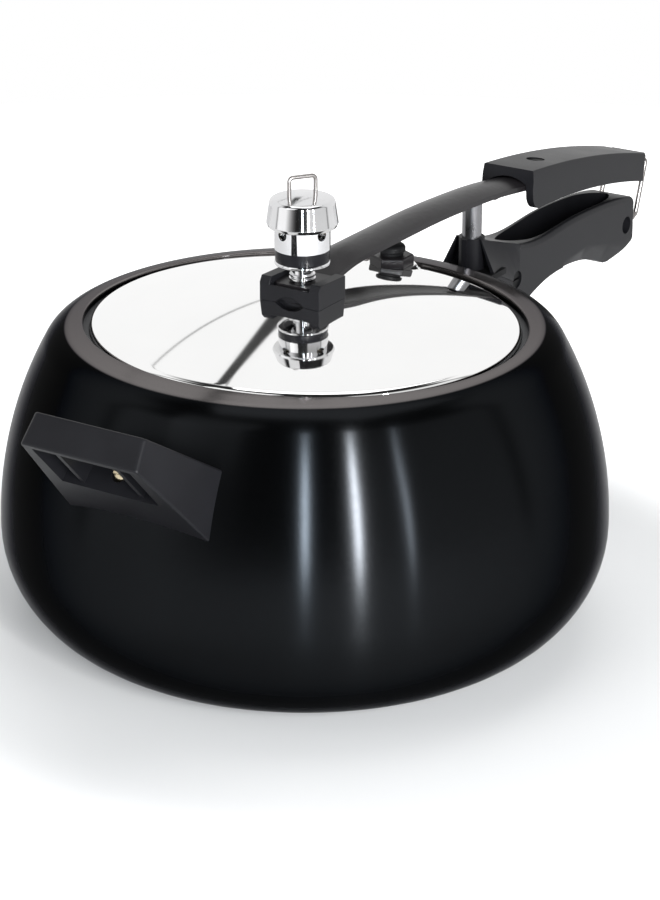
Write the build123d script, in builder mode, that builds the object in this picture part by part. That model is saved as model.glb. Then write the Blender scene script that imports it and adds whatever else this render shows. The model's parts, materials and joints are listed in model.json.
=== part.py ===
"""Stovetop pressure cooker with an inside-fitting oval lid, as an assembly of separate pieces.

Millimetres, +Z up.  The origin is the centre of the base, +X runs along the long handles.
The lid hangs on a lever bar.  The bar rocks on the domed top of the fulcrum post, so that
pressing the two long handles together pulls the lid up against the underside of the rim.
"""

from build123d import *
import os
from math import asin, cos, degrees, radians, sin, sqrt, tan

os.makedirs("parts", exist_ok=True)

# ------------------------------------------------------------------ clearances
slip_gap = 0.1  # between pieces of one body that slide together when assembled
running_gap = 0.08  # round a shaft that turns or slides in its hole
swing_gap = 0.3  # between bodies that pass each other
seat_gap = 0.05  # at a seat that closes on a stop

# ------------------------------------------------------------------ pot
belly_radius = 120.0
base_corner_radius = 46.0
flank_arc_radius = 150.0
shoulder_height = 119.0
shoulder_run = 8.04  # from the top of the flank in to the rim
shoulder_rise = 6.5  # from the top of the flank up to the rim
rim_edge_thickness = 2.2
rim_slope = 0.16
rim_width_x = 10.5  # from the rim's outer edge to the oval mouth
rim_width_y = 5.5
pot_wall = 3.25
pot_floor = 4.5

shoulder_reach = sqrt(flank_arc_radius**2 - (shoulder_height - base_corner_radius) ** 2)
shoulder_radius = belly_radius - flank_arc_radius + shoulder_reach
rim_radius = shoulder_radius - shoulder_run
rim_height = shoulder_height + shoulder_rise
rim_underside = rim_height - rim_edge_thickness
mouth_half_x = rim_radius - rim_width_x
mouth_half_y = rim_radius - rim_width_y

# ------------------------------------------------------------------ lid and gasket
lid_lap_x = 2.0  # how far the lid reaches under the rim
lid_lap_y = 1.5
lid_crown_rise = 10.5  # crown of the dome above the rim
lid_thickness = 1.2
lid_mouth_gap = 2.4
lid_dome_drop = 9.2
lid_bead = 2.0
gasket_lip = 1.4
gasket_overhang = 2.2
gasket_corner = 1.0

lid_half_x = mouth_half_x + lid_lap_x
lid_half_y = mouth_half_y + lid_lap_y
lid_crown_height = rim_height + lid_crown_rise
lid_radius = (lid_half_x + lid_half_y) / 2
oval_x = lid_half_x / lid_radius
oval_y = lid_half_y / lid_radius
gasket_top = rim_underside - slip_gap
flange_top = gasket_top - gasket_lip
flange_bottom = flange_top - lid_thickness
step_radius = mouth_half_x / oval_x - lid_mouth_gap
dome_radius = step_radius - lid_bead
dome_edge_height = lid_crown_height - lid_dome_drop

# ------------------------------------------------------------------ bar end, saddle and steam vent
bar_thickness = 2.0
bar_end_thickness = 2.2
bar_end_rise = 7.0  # top of the bar's flat end above the lid's crown
bar_end_half_width = 8.7
bar_tail_half_width = 8.5
bar_end_front = -9.3
bar_end_back = 10.0
vent_x = -1.8
saddle_front = -11.2
saddle_back = 7.7
saddle_half_width = 13.5
saddle_cheek_height = 2.2  # cheeks above the bar's flat end
saddle_lip_drop = 0.7
saddle_relief_half = 7.5
saddle_relief_rise = 2.6
rocking_play = 1.5
vent_play = 0.7

bar_end_top = lid_crown_height + bar_end_rise
saddle_top = bar_end_top + saddle_cheek_height
saddle_front_lip = bar_end_top - saddle_lip_drop
bar_end_bottom = bar_end_top - bar_end_thickness
saddle_floor = bar_end_bottom - rocking_play

vent_bore = 1.5
vent_thread = 2.9
vent_sleeve = 3.9
vent_neck = 4.0
vent_flange = 5.2
vent_flange_height = 2.4
vent_height = 13.6  # from the bar's flat end to the top of the vent
vent_seat_depth = 1.1
vent_nut_flats = 13.0
vent_nut_height = 4.0
vent_seal_radius = 7.5
vent_seal_thickness = 1.5

vent_top = bar_end_top + vent_height
vent_flange_bottom = bar_end_top + vent_play
vent_flange_top = vent_flange_bottom + vent_flange_height

# ------------------------------------------------------------------ pressure regulator
regulator_rise = 6.9  # foot of the regulator above the bar's flat end
regulator_ring_height = 1.5
regulator_band_height = 4.8
regulator_radius = 10.8
regulator_band_radius = 10.5
regulator_spigot = 8.2
regulator_height = 15.3  # from its foot to the underside of the cap
chamber_radius = 7.0
chamber_floor_rise = 7.0
chamber_roof = 3.2
cap_radius = 13.9
cap_shoulder_radius = 12.8
cap_side_height = 9.0
cap_height = 11.6
cap_spigot = 9.2
cap_spigot_height = 3.0
steam_hole_radius = 2.2
steam_hole_count = 4
steam_hole_start = -103.0
clip_height = 1.0
lifting_loop_wire = 0.8
lifting_loop_half_width = 5.4
lifting_loop_rise = 8.4
lifting_loop_turn = -35.0
needle_stem = 2.4
needle_flange_thickness = 1.5
needle_foot = 2.2
needle_upper_stem = 2.0
needle_length = 9.0
spring_radius = 4.5
spring_wire = 0.5
spring_turns = 4

regulator_bottom = bar_end_top + regulator_rise
regulator_shoulder = regulator_bottom + regulator_height
band_bottom = regulator_bottom + regulator_ring_height
band_top = band_bottom + regulator_band_height
chamber_floor = regulator_bottom + chamber_floor_rise
cap_shoulder_height = regulator_shoulder + cap_side_height
cap_top = regulator_shoulder + cap_height
lifting_loop_top = cap_top + lifting_loop_rise
chamber_ceiling = cap_top - chamber_roof
needle_flange_bottom = vent_top + needle_foot

# ------------------------------------------------------------------ safety valve
valve_inset = 15.0  # from the lid's edge to the valve's axis
valve_y = 3.0
valve_hex_flats = 15.6
valve_hex_height = 4.1
valve_pad_radius = 9.6
valve_plug_radius = 5.5
valve_plug_height = 4.9
valve_stem = 4.0
valve_nut_flats = 11.5
valve_nut_height = 4.0
valve_seal_thickness = 1.1
valve_pad_drop = 6.6  # valve's flat pad below the lid's crown

valve_x = lid_half_x - valve_inset
valve_pad_height = lid_crown_height - valve_pad_drop

# ------------------------------------------------------------------ fulcrum post and body handle bracket
post_reach = 9.5  # from the belly out to the post's axis
post_radius = 4.15
post_stub_radius = 3.0
dome_drop = 2.7  # centre of the post's dome below the top of the bar's flat end
shelf_drop = 14.0  # shelf below the rim
shelf_thickness = 2.5
shelf_half_width = 12.9
shelf_reach = 7.5  # shelf past the post's axis
bracket_plate = 2.5
bracket_height = 29.5
ear_gap = 4.5
ear_thickness = 2.0
ear_reach = 27.5
rivet_radius = 2.5
rivet_head_radius = 4.0
rivet_head_height = 1.8
lower_rivet_rise = 3.5
rivet_spacing = 13.5

post_x = belly_radius + post_reach
dome_centre = bar_end_top - dome_drop
shelf_top = rim_height - shelf_drop
shelf_end = post_x + shelf_reach
bracket_foot = shelf_top - bracket_height
ear_end = post_x + ear_reach
ear_outer = ear_gap + ear_thickness
rivet_heights = (bracket_foot + lower_rivet_rise, bracket_foot + lower_rivet_rise + rivet_spacing)

# ------------------------------------------------------------------ long handles
handle_half_width = 11.3
handle_length = 131.5  # from the post's axis to the end of the body handle
handle_depth = 32.0  # foot of the body handle below the shelf
handle_corner = 3.5
handle_edge = 2.4
collar_reach = 6.6
collar_tube = 5.5
collar_height = 13.9
collar_top_half_width = 6.0
collar_base_half_width = 12.6
collar_wall = 1.7
collar_edge_reach = 2.5
collar_blend = 22.5
handle_bolt_reach = 20.4
handle_bolt_drop = 9.3
handle_bolt_radius = 2.5
handle_bolt_head = 3.7
handle_bolt_recess = 3.0
hanging_hole_inset = 8.6
hanging_hole_drop = 12.3
hanging_hole_radius = 4.0
grip_recess_reach = 20.5
grip_recess_inset = 7.0
grip_recess_half_width = 8.3
grip_recess_depth = 8.0
grip_recess_ramp = 25.0
grip_undercut = (
    # place along the grip, edge above the shelf, how far the underside steps in
    (0.367, -12.9, 4.0),
    (0.569, -11.4, 5.2),
    (0.771, -16.2, 6.0),
    (1.01, -24.0, 5.2),
)

collar_front = post_x - collar_reach
collar_edge_x = post_x - collar_edge_reach
collar_blend_x = post_x + collar_blend
collar_top = shelf_top + collar_height
handle_end = post_x + handle_length
handle_foot = shelf_top - handle_depth
handle_root_x = post_x - 29.5
handle_bolt_x = post_x + handle_bolt_reach
handle_bolt_z = shelf_top - handle_bolt_drop
hanging_hole_x = handle_end - hanging_hole_inset
hanging_hole_z = shelf_top - hanging_hole_drop
grip_recess_start = post_x + grip_recess_reach
grip_recess_end = handle_end - grip_recess_inset
grip_recess_floor = shelf_top - grip_recess_depth

lid_handle_reach = 30.8  # from the post's axis to the front of the lid handle
lid_handle_overhang = 8.3  # lid handle past the end of the body handle
lid_handle_front_rise = 4.9
lid_handle_end_drop = 14.0
lid_handle_front_half = 12.5
lid_handle_bow = 2.5
lid_handle_wall = 2.3
lid_handle_roof = 2.8
lid_handle_end_wall = 6.0
lid_handle_edge = 0.7
lid_handle_crease = 4.6
lid_handle_lean = 0.5
lid_screw_reach = 54.5
lid_screw_seat_rise = 0.1
lid_nut_drop = 5.6
lid_screw_radius = 2.5
lid_screw_head = 3.9
lid_screw_start = 7
lid_screw_bore = 20
lid_screw_head_height = 1.6
lid_nut_side = 8.0
lid_nut_height = 3.5

lid_handle_front_x = post_x + lid_handle_reach
lid_handle_front_z = bar_end_top + lid_handle_front_rise
lid_handle_end_x = handle_end + lid_handle_overhang
lid_handle_end_z = bar_end_top - lid_handle_end_drop
lid_handle_below = lid_handle_end_z - 29.0
lid_screw_x = post_x + lid_screw_reach
lid_screw_seat = bar_end_top + lid_screw_seat_rise
lid_nut_top = bar_end_top - lid_nut_drop

# ------------------------------------------------------------------ lock loop
loop_wire = 1.1
loop_half_width = 9.4
loop_bend = 1.6
loop_pivot_reach = 3.7
loop_pivot_drop = 4.0
loop_knee_reach = 3.9
loop_knee_drop = 10.1
loop_bar_inset = 0.7
loop_bar_drop = 11.9
pivot_lug = 2.9

loop_pivot_x = lid_handle_end_x + loop_pivot_reach
loop_pivot_z = lid_handle_end_z - loop_pivot_drop
loop_knee_x = handle_end + loop_knee_reach
loop_knee_z = shelf_top - loop_knee_drop
loop_bar_x = handle_end - loop_bar_inset
loop_bar_z = shelf_top - loop_bar_drop

# ------------------------------------------------------------------ helper handle
helper_wall = 2.6
helper_root_half = 31.0
helper_front_half = 24.0
helper_lip_half = 25.6
helper_reach = 26.5  # from the belly out to the lip
helper_lip_drop = 6.5
helper_front_set = 7.5
helper_front_height = 10.0
helper_root_depth = 24.5
helper_root_drop = 18.5
helper_hollow_run = 27.4
helper_hollow_depth = 9.8
helper_corner = 2.0
helper_edge = 0.9
helper_stud_drop = 25.5
helper_stud_radius = 4.5
helper_stud_length = 6.0
helper_boss_radius = 6.5
helper_boss_length = 11.5
helper_screw_radius = 2.2
helper_screw_head = 3.0
helper_screw_head_height = 2.2
helper_rib_place = 13.0
helper_rib_thickness = 1.8
helper_rib_set = 1.6

helper_lip = (-belly_radius - helper_reach, rim_height - helper_lip_drop)
helper_front_top = (helper_lip[0] + helper_front_set, helper_lip[1] + helper_front_height)
helper_root_top = (-belly_radius + 16.0, rim_height - helper_root_drop)
helper_root_foot = (-belly_radius + 7.5, rim_height - helper_root_drop - helper_root_depth)
helper_stud_height = rim_height - helper_stud_drop


def flank_radius(height, inset=0.0):
    """Radius of the pot's flank at a height, measured inset mm inside its outer face."""
    arc = flank_arc_radius - inset
    return belly_radius - flank_arc_radius + sqrt(arc**2 - (height - base_corner_radius) ** 2)


def flank_lean(height):
    """Angle of the flank's outward normal above the horizontal, in degrees."""
    return degrees(asin((height - base_corner_radius) / flank_arc_radius))


def flank_plane(side, height):
    """Plane on the flank at +X (side 1) or -X (side -1), facing out of the pot."""
    lean = radians(flank_lean(height))
    origin = (side * flank_radius(height), 0, height)
    return Plane(origin=origin, x_dir=(0, 1, 0), z_dir=(side * cos(lean), 0, sin(lean)))


def pot_outline(grow=0.0):
    """Closed half-section of the pot's outside, grown outward by a gap."""
    floor = Line((0, -grow), (belly_radius - base_corner_radius, -grow))
    corner = TangentArc(floor @ 1, (belly_radius + grow, base_corner_radius), tangent=floor % 1)
    top = (flank_radius(shoulder_height, -grow), shoulder_height)
    flank = TangentArc(corner @ 1, top, tangent=corner % 1)
    shoulder = TangentArc(flank @ 1, (rim_radius, rim_height + grow), tangent=flank % 1)
    apex = (shoulder @ 1).Y + rim_slope * rim_radius
    Polyline(shoulder @ 1, (0, apex), floor @ 0)


# ================================================================== pot
with BuildPart() as pot_body:
    with BuildSketch(Plane.XZ):
        with BuildLine():
            pot_outline()
        make_face()
    revolve(axis=Axis.Z)
    corner_run = sqrt((base_corner_radius - pot_wall) ** 2 - (base_corner_radius - pot_floor) ** 2)
    floor_radius = belly_radius - base_corner_radius + corner_run
    inner_lean = asin((shoulder_height - base_corner_radius) / (flank_arc_radius - pot_wall))
    inner_rise = rim_underside - shoulder_height
    inner_top = flank_radius(shoulder_height, pot_wall)
    inner_roof = inner_top - inner_rise / tan((radians(90) - inner_lean) / 2)
    with BuildSketch(Plane.XZ):
        with BuildLine():
            inner_floor = Line((0, pot_floor), (floor_radius, pot_floor))
            inner_belly = (belly_radius - pot_wall, base_corner_radius)
            inner_corner = TangentArc(inner_belly, inner_floor @ 1, tangent=(0, -1))
            inner_flank = TangentArc(inner_belly, (inner_top, shoulder_height), tangent=(0, 1))
            inner_bend = TangentArc(inner_flank @ 1, (inner_roof, rim_underside), tangent=inner_flank % 1)
            Polyline(inner_bend @ 1, (0, rim_underside), inner_floor @ 0)
        make_face()
    revolve(axis=Axis.Z, mode=Mode.SUBTRACT)
    with BuildSketch(Plane.XY.offset(rim_underside - 1)):
        Ellipse(mouth_half_x, mouth_half_y)
    extrude(amount=rim_slope * rim_radius + 10, mode=Mode.SUBTRACT)
    for height in rivet_heights:
        with BuildSketch(flank_plane(1, height)):
            Circle(rivet_radius)
        extrude(amount=2 * pot_wall, both=True, mode=Mode.SUBTRACT)
    with BuildSketch(flank_plane(-1, helper_stud_height)):
        Circle(rivet_radius)
    extrude(amount=2 * pot_wall, both=True, mode=Mode.SUBTRACT)

# Solid of the pot's outside, used only to trim what stands against it.
with BuildPart() as pot_volume:
    with BuildSketch(Plane.XZ):
        with BuildLine():
            pot_outline()
        make_face()
    revolve(axis=Axis.Z)

# ================================================================== bracket on the pot, its rivets and the post
with BuildPart() as handle_bracket:
    with BuildSketch(Plane.XZ):
        with BuildLine():
            top = (flank_radius(shelf_top), shelf_top)
            foot = (flank_radius(bracket_foot), bracket_foot)
            middle = (shelf_top + bracket_foot) / 2
            inner = ThreePointArc(foot, (flank_radius(middle), middle), top)
            shelf = Polyline(top, (shelf_end, shelf_top), (shelf_end, shelf_top - shelf_thickness))
            under = shelf_top - shelf_thickness
            elbow = (flank_radius(under, -bracket_plate), under)
            middle = (under + bracket_foot) / 2
            outer_foot = (flank_radius(bracket_foot, -bracket_plate), bracket_foot)
            Line(shelf @ 1, elbow)
            ThreePointArc(elbow, (flank_radius(middle, -bracket_plate), middle), outer_foot)
            Line(outer_foot, foot)
        make_face()
    extrude(amount=ear_outer, both=True)
    with BuildSketch(Plane.XY.offset(shelf_top)):
        with BuildLine():
            Polyline(
                (flank_radius(shelf_top), -ear_outer),
                (post_x - 2 * post_radius, -shelf_half_width),
                (shelf_end, -shelf_half_width),
                (shelf_end, shelf_half_width),
                (post_x - 2 * post_radius, shelf_half_width),
                (flank_radius(shelf_top), ear_outer),
                close=True,
            )
        make_face()
    extrude(amount=-shelf_thickness)
    with BuildSketch(Plane.XZ):
        with BuildLine():
            ear_top = shelf_top - shelf_thickness
            ear_foot = handle_bolt_z - 8
            Polyline(
                (flank_radius(ear_top), ear_top),
                (ear_end, ear_top),
                (ear_end, ear_foot),
                (flank_radius(bracket_foot) + 12, ear_foot),
                (flank_radius(bracket_foot), bracket_foot + 2),
                close=True,
            )
        make_face()
        fillet(vertices().group_by(Axis.X)[-1], 4)
    extrude(amount=ear_outer, both=True)
    with BuildSketch(Plane.XZ):
        with BuildLine():
            Polyline(
                (flank_radius(under, -bracket_plate), under),
                (ear_end + 1, under),
                (ear_end + 1, bracket_foot - 5),
                (flank_radius(bracket_foot, -bracket_plate), bracket_foot - 5),
                close=True,
            )
        make_face()
    extrude(amount=ear_gap, both=True, mode=Mode.SUBTRACT)
    add(pot_volume.part, mode=Mode.SUBTRACT)
    with Locations((post_x, 0, shelf_top)):
        Hole(post_stub_radius)
    for height in rivet_heights:
        with BuildSketch(flank_plane(1, height)):
            Circle(rivet_radius)
        extrude(amount=3 * bracket_plate, both=True, mode=Mode.SUBTRACT)
    with BuildSketch(Plane.XZ):
        with Locations((handle_bolt_x, handle_bolt_z)):
            Circle(handle_bolt_radius + slip_gap)
    extrude(amount=2 * ear_outer, both=True, mode=Mode.SUBTRACT)


def rivet(side, height, grip):
    """Solid rivet through the pot wall and a plate of thickness grip, with two low round heads."""
    inside = -pot_wall - rivet_head_height
    outside = grip + rivet_head_height
    with BuildPart() as made:
        with BuildSketch(Plane.XZ):
            with BuildLine():
                crown = TangentArc((0, outside), (rivet_head_radius, grip + 0.2), tangent=(1, 0))
                seats = Polyline(
                    crown @ 1,
                    (rivet_head_radius, grip + 0.05),
                    (rivet_radius, grip + 0.05),
                    (rivet_radius, -pot_wall - 0.15),
                    (rivet_head_radius, -pot_wall - 0.15),
                    (rivet_head_radius, -pot_wall - 0.35),
                )
                dome = TangentArc((0, inside), seats @ 1, tangent=(1, 0))
                Line(dome @ 0, crown @ 0)
            make_face()
        revolve(axis=Axis.Z)
    return flank_plane(side, height) * made.part


bracket_rivets = Compound([rivet(1, height, bracket_plate) for height in rivet_heights])

with BuildPart() as fulcrum_post:
    # The dome's centre is the lever's axis: the underside of the bar stays tangent to the dome.
    with BuildSketch(Plane.XZ):
        with BuildLine():
            stub_foot = shelf_top - shelf_thickness - 1.2
            Polyline(
                (0, dome_centre + post_radius),
                (0, stub_foot),
                (post_stub_radius + 0.8, stub_foot),
                (post_stub_radius + 0.8, shelf_top - shelf_thickness),
                (post_stub_radius, shelf_top - shelf_thickness),
                (post_stub_radius, shelf_top),
                (post_radius, shelf_top),
                (post_radius, dome_centre),
            )
            dome_rise = dome_centre + post_radius * sin(radians(45))
            ThreePointArc(
                (post_radius, dome_centre),
                (post_radius * cos(radians(45)), dome_rise),
                (0, dome_centre + post_radius),
            )
        make_face()
    revolve(axis=Axis.Z)
fulcrum_post.part = Location((post_x, 0, 0)) * fulcrum_post.part

# ================================================================== body handle
def along_grip(share):
    """Place along the grip: 0 where the collar blends in, 1 at the handle's end."""
    return collar_blend_x + share * (handle_end - collar_blend_x)


with BuildPart() as grip_recess:
    # Boat-shaped hollow in the grip's top, with a ramp down from the collar.
    with BuildSketch(Plane.XY.offset(grip_recess_floor)):
        with BuildLine():
            recess_side = Spline(
                (grip_recess_start, 0),
                (grip_recess_start + 14, grip_recess_half_width - 2),
                (grip_recess_start + 36, grip_recess_half_width),
                (grip_recess_end - 30, grip_recess_half_width),
                (grip_recess_end - 10, grip_recess_half_width - 2.5),
                (grip_recess_end, 0),
            )
            mirror(recess_side, about=Plane.XZ)
        make_face()
    extrude(amount=30)
    with BuildSketch(Plane.XZ):
        with BuildLine():
            ramp = ThreePointArc(
                (grip_recess_start, shelf_top + 7),
                (grip_recess_start + 9, grip_recess_floor + 5.2),
                (grip_recess_start + grip_recess_ramp, grip_recess_floor),
            )
            Polyline(
                ramp @ 1,
                (grip_recess_end + 1, grip_recess_floor),
                (grip_recess_end + 1, grip_recess_floor + 30),
                (grip_recess_start, grip_recess_floor + 30),
                ramp @ 0,
            )
        make_face()
    extrude(amount=handle_half_width, both=True, mode=Mode.INTERSECT)

with BuildPart() as body_handle:
    with BuildSketch(Plane.XZ):
        with BuildLine():
            grip = Spline(
                (collar_blend_x - 12, shelf_top + 10.1),
                (collar_blend_x, shelf_top + 6.1),
                (along_grip(0.165), shelf_top + 3.4),
                (along_grip(0.422), shelf_top + 4.3),
                (along_grip(0.679), shelf_top + 3.6),
                (along_grip(0.862), shelf_top + 1.9),
                (handle_end - 0.4, shelf_top - 0.9),
            )
            back = Polyline(
                grip @ 1,
                (handle_end, shelf_top - 21.7),
                (handle_end - 19, shelf_top - 27.5),
                (handle_end - 22.5, shelf_top - 27.2),
            )
            belly = Spline(
                back @ 1,
                (along_grip(0.67), shelf_top - 21.8),
                (along_grip(0.523), shelf_top - 17.7),
                (along_grip(0.349), shelf_top - 15.6),
                (along_grip(0.211), shelf_top - 16.7),
                (along_grip(0.073), shelf_top - 20.5),
                (post_x + 10.5, shelf_top - 26.9),
                (post_x - 7.5, handle_foot),
            )
            front = Polyline(
                belly @ 1, (handle_root_x, handle_foot), (handle_root_x, shelf_top - shelf_thickness - slip_gap)
            )
            seat = Line(front @ 1, (shelf_end + 1, shelf_top - shelf_thickness - slip_gap))
            Polyline(seat @ 1, (collar_blend_x - 12, shelf_top), grip @ 0)
        make_face()
        fillet(vertices().sort_by(Axis.X)[-2:], handle_corner)
    extrude(amount=handle_half_width, both=True)
    rounded = edges().filter_by(lambda e: abs(e.center().Y) > handle_half_width - 0.1)
    rounded = rounded.filter_by(
        lambda e: e.center().X > handle_end - 3 or (e.center().Z > shelf_top and e.center().X > collar_blend_x)
    )
    fillet(rounded, handle_edge)
    # Flared collar: wide where it sits on the shelf, narrow round the post.
    with BuildSketch(Plane.YZ.offset(collar_edge_x)):
        with BuildLine():
            Polyline(
                (-collar_base_half_width, shelf_top + slip_gap),
                (collar_base_half_width, shelf_top + slip_gap),
                (collar_top_half_width, collar_top),
                (-collar_top_half_width, collar_top),
                close=True,
            )
        make_face()
    with BuildSketch(Plane.YZ.offset(collar_blend_x)):
        with BuildLine():
            Polyline(
                (-handle_half_width, shelf_top - 11.5),
                (handle_half_width, shelf_top - 11.5),
                (handle_half_width, shelf_top + 6.1),
                (-handle_half_width, shelf_top + 6.1),
                close=True,
            )
        make_face()
    loft(ruled=True)
    pocket_end = post_x + collar_tube - 1
    with BuildSketch(Plane.YZ.offset(collar_edge_x - 1)):
        with BuildLine():
            Polyline(
                (-collar_base_half_width + collar_wall, shelf_top),
                (collar_base_half_width - collar_wall, shelf_top),
                (collar_top_half_width - collar_wall + 0.6, collar_top + 1),
                (-collar_top_half_width + collar_wall - 0.6, collar_top + 1),
                close=True,
            )
        make_face()
    extrude(amount=pocket_end - collar_edge_x + 1, mode=Mode.SUBTRACT)
    with BuildSketch(Plane.XY.offset(shelf_top + slip_gap)):
        with Locations((post_x, 0)):
            Circle(collar_tube)
        with Locations(((collar_front + post_x) / 2, 0)):
            Rectangle(post_x - collar_front, 2.2)
    extrude(amount=collar_top - shelf_top - slip_gap)
    with Locations((post_x, 0, collar_top)):
        Hole(post_radius + slip_gap)
    # Room for the bracket, its shelf and the pot's wall.
    with BuildSketch(Plane.XZ):
        with BuildLine():
            Polyline(
                (handle_root_x, bracket_foot - 1.5),
                (flank_radius(bracket_foot) + 14, bracket_foot - 1.5),
                (ear_end + 1, handle_bolt_z - 9),
                (ear_end + 1, shelf_top + slip_gap),
                (handle_root_x, shelf_top + slip_gap),
                close=True,
            )
        make_face()
    extrude(amount=ear_outer + slip_gap, both=True, mode=Mode.SUBTRACT)
    with Locations(((shelf_end + handle_root_x) / 2 + slip_gap, 0, shelf_top - shelf_thickness / 2)):
        Box(shelf_end - handle_root_x, 40, shelf_thickness + 2 * slip_gap, mode=Mode.SUBTRACT)
    add(pot_volume.part, mode=Mode.SUBTRACT)
    add(grip_recess.part, mode=Mode.SUBTRACT)
    # Slanting undercut along each side of the grip, narrowing the underside.
    for side in (1, -1):
        for share, edge, inset in grip_undercut:
            with BuildSketch(Plane.YZ.offset(along_grip(share))):
                with BuildLine():
                    Polyline(
                        (side * (handle_half_width + 1), shelf_top + edge + 1.9),
                        (side * (handle_half_width + 1), shelf_top + edge - 14),
                        (side * (handle_half_width - inset), shelf_top + edge - 14),
                        (side * handle_half_width, shelf_top + edge),
                        close=True,
                    )
                make_face()
        loft(ruled=True, mode=Mode.SUBTRACT)
    with BuildSketch(Plane.XZ):
        with Locations((handle_bolt_x, handle_bolt_z)):
            Circle(handle_bolt_radius + slip_gap)
        with Locations((hanging_hole_x, hanging_hole_z)):
            Circle(hanging_hole_radius)
    extrude(amount=handle_half_width + 1, both=True, mode=Mode.SUBTRACT)
    for side in (1, -1):
        with BuildSketch(Plane.XZ.offset(side * (handle_half_width - handle_bolt_recess))):
            with Locations((handle_bolt_x, handle_bolt_z)):
                Circle(handle_bolt_head + slip_gap)
        extrude(amount=side * 10, mode=Mode.SUBTRACT)
    # Catch for the lock loop: an open groove across the end face.
    groove_half = loop_wire + 0.35
    with BuildSketch(Plane.XZ):
        with BuildLine():
            Polyline(
                (loop_bar_x, loop_bar_z + groove_half),
                (handle_end + 5, loop_bar_z + groove_half),
                (handle_end + 5, loop_bar_z - groove_half - 1.2),
                (loop_bar_x, loop_bar_z - groove_half),
            )
            ThreePointArc(
                (loop_bar_x, loop_bar_z - groove_half),
                (loop_bar_x - groove_half, loop_bar_z),
                (loop_bar_x, loop_bar_z + groove_half),
            )
        make_face()
    extrude(amount=handle_half_width + 1, both=True, mode=Mode.SUBTRACT)


# ================================================================== through bolt and nut of the body handle
with BuildPart() as body_handle_bolt:
    head_seat = handle_half_width - handle_bolt_recess
    with BuildSketch(Plane.XZ.offset(head_seat)):
        with Locations((handle_bolt_x, handle_bolt_z)):
            Circle(handle_bolt_head)
    extrude(amount=2.2)
    with BuildSketch(Plane.XZ.offset(head_seat)):
        with Locations((handle_bolt_x, handle_bolt_z)):
            Circle(handle_bolt_radius)
    extrude(amount=-2 * head_seat - 2.4)
    with BuildSketch(Plane.XZ.offset(head_seat + 2.2)):
        with Locations((handle_bolt_x, handle_bolt_z)):
            Rectangle(2 * handle_bolt_head + 1, 1.1)
    extrude(amount=-1.0, mode=Mode.SUBTRACT)

with BuildPart() as body_handle_nut:
    with BuildSketch(Plane.XZ.offset(-head_seat)):
        with Locations((handle_bolt_x, handle_bolt_z)):
            RegularPolygon(handle_bolt_head, 6)
            Circle(handle_bolt_radius, mode=Mode.SUBTRACT)
    extrude(amount=-2.4)

# ================================================================== helper handle, opposite the long ones
helper_plane = flank_plane(-1, helper_stud_height)


def wedge_face(top, foot, top_half, foot_half):
    """Four-sided face across the helper handle between two points of its side view."""
    along = Vector(foot[0] - top[0], 0, foot[1] - top[1])
    face_plane = Plane(origin=(top[0], 0, top[1]), x_dir=(0, 1, 0), z_dir=Vector(0, 1, 0).cross(along))
    with BuildSketch(face_plane) as made:
        with BuildLine():
            corners = [
                face_plane.to_local_coords(Vector(top[0], -top_half, top[1])),
                face_plane.to_local_coords(Vector(top[0], top_half, top[1])),
                face_plane.to_local_coords(Vector(foot[0], foot_half, foot[1])),
                face_plane.to_local_coords(Vector(foot[0], -foot_half, foot[1])),
            ]
            Polyline([(c.X, c.Y) for c in corners], close=True)
        make_face()
    return made.sketch


def extend(start, end, share):
    """Point past end, on the line from start, by a share of its length."""
    return (end[0] + share * (end[0] - start[0]), end[1] + share * (end[1] - start[1]))


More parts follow.
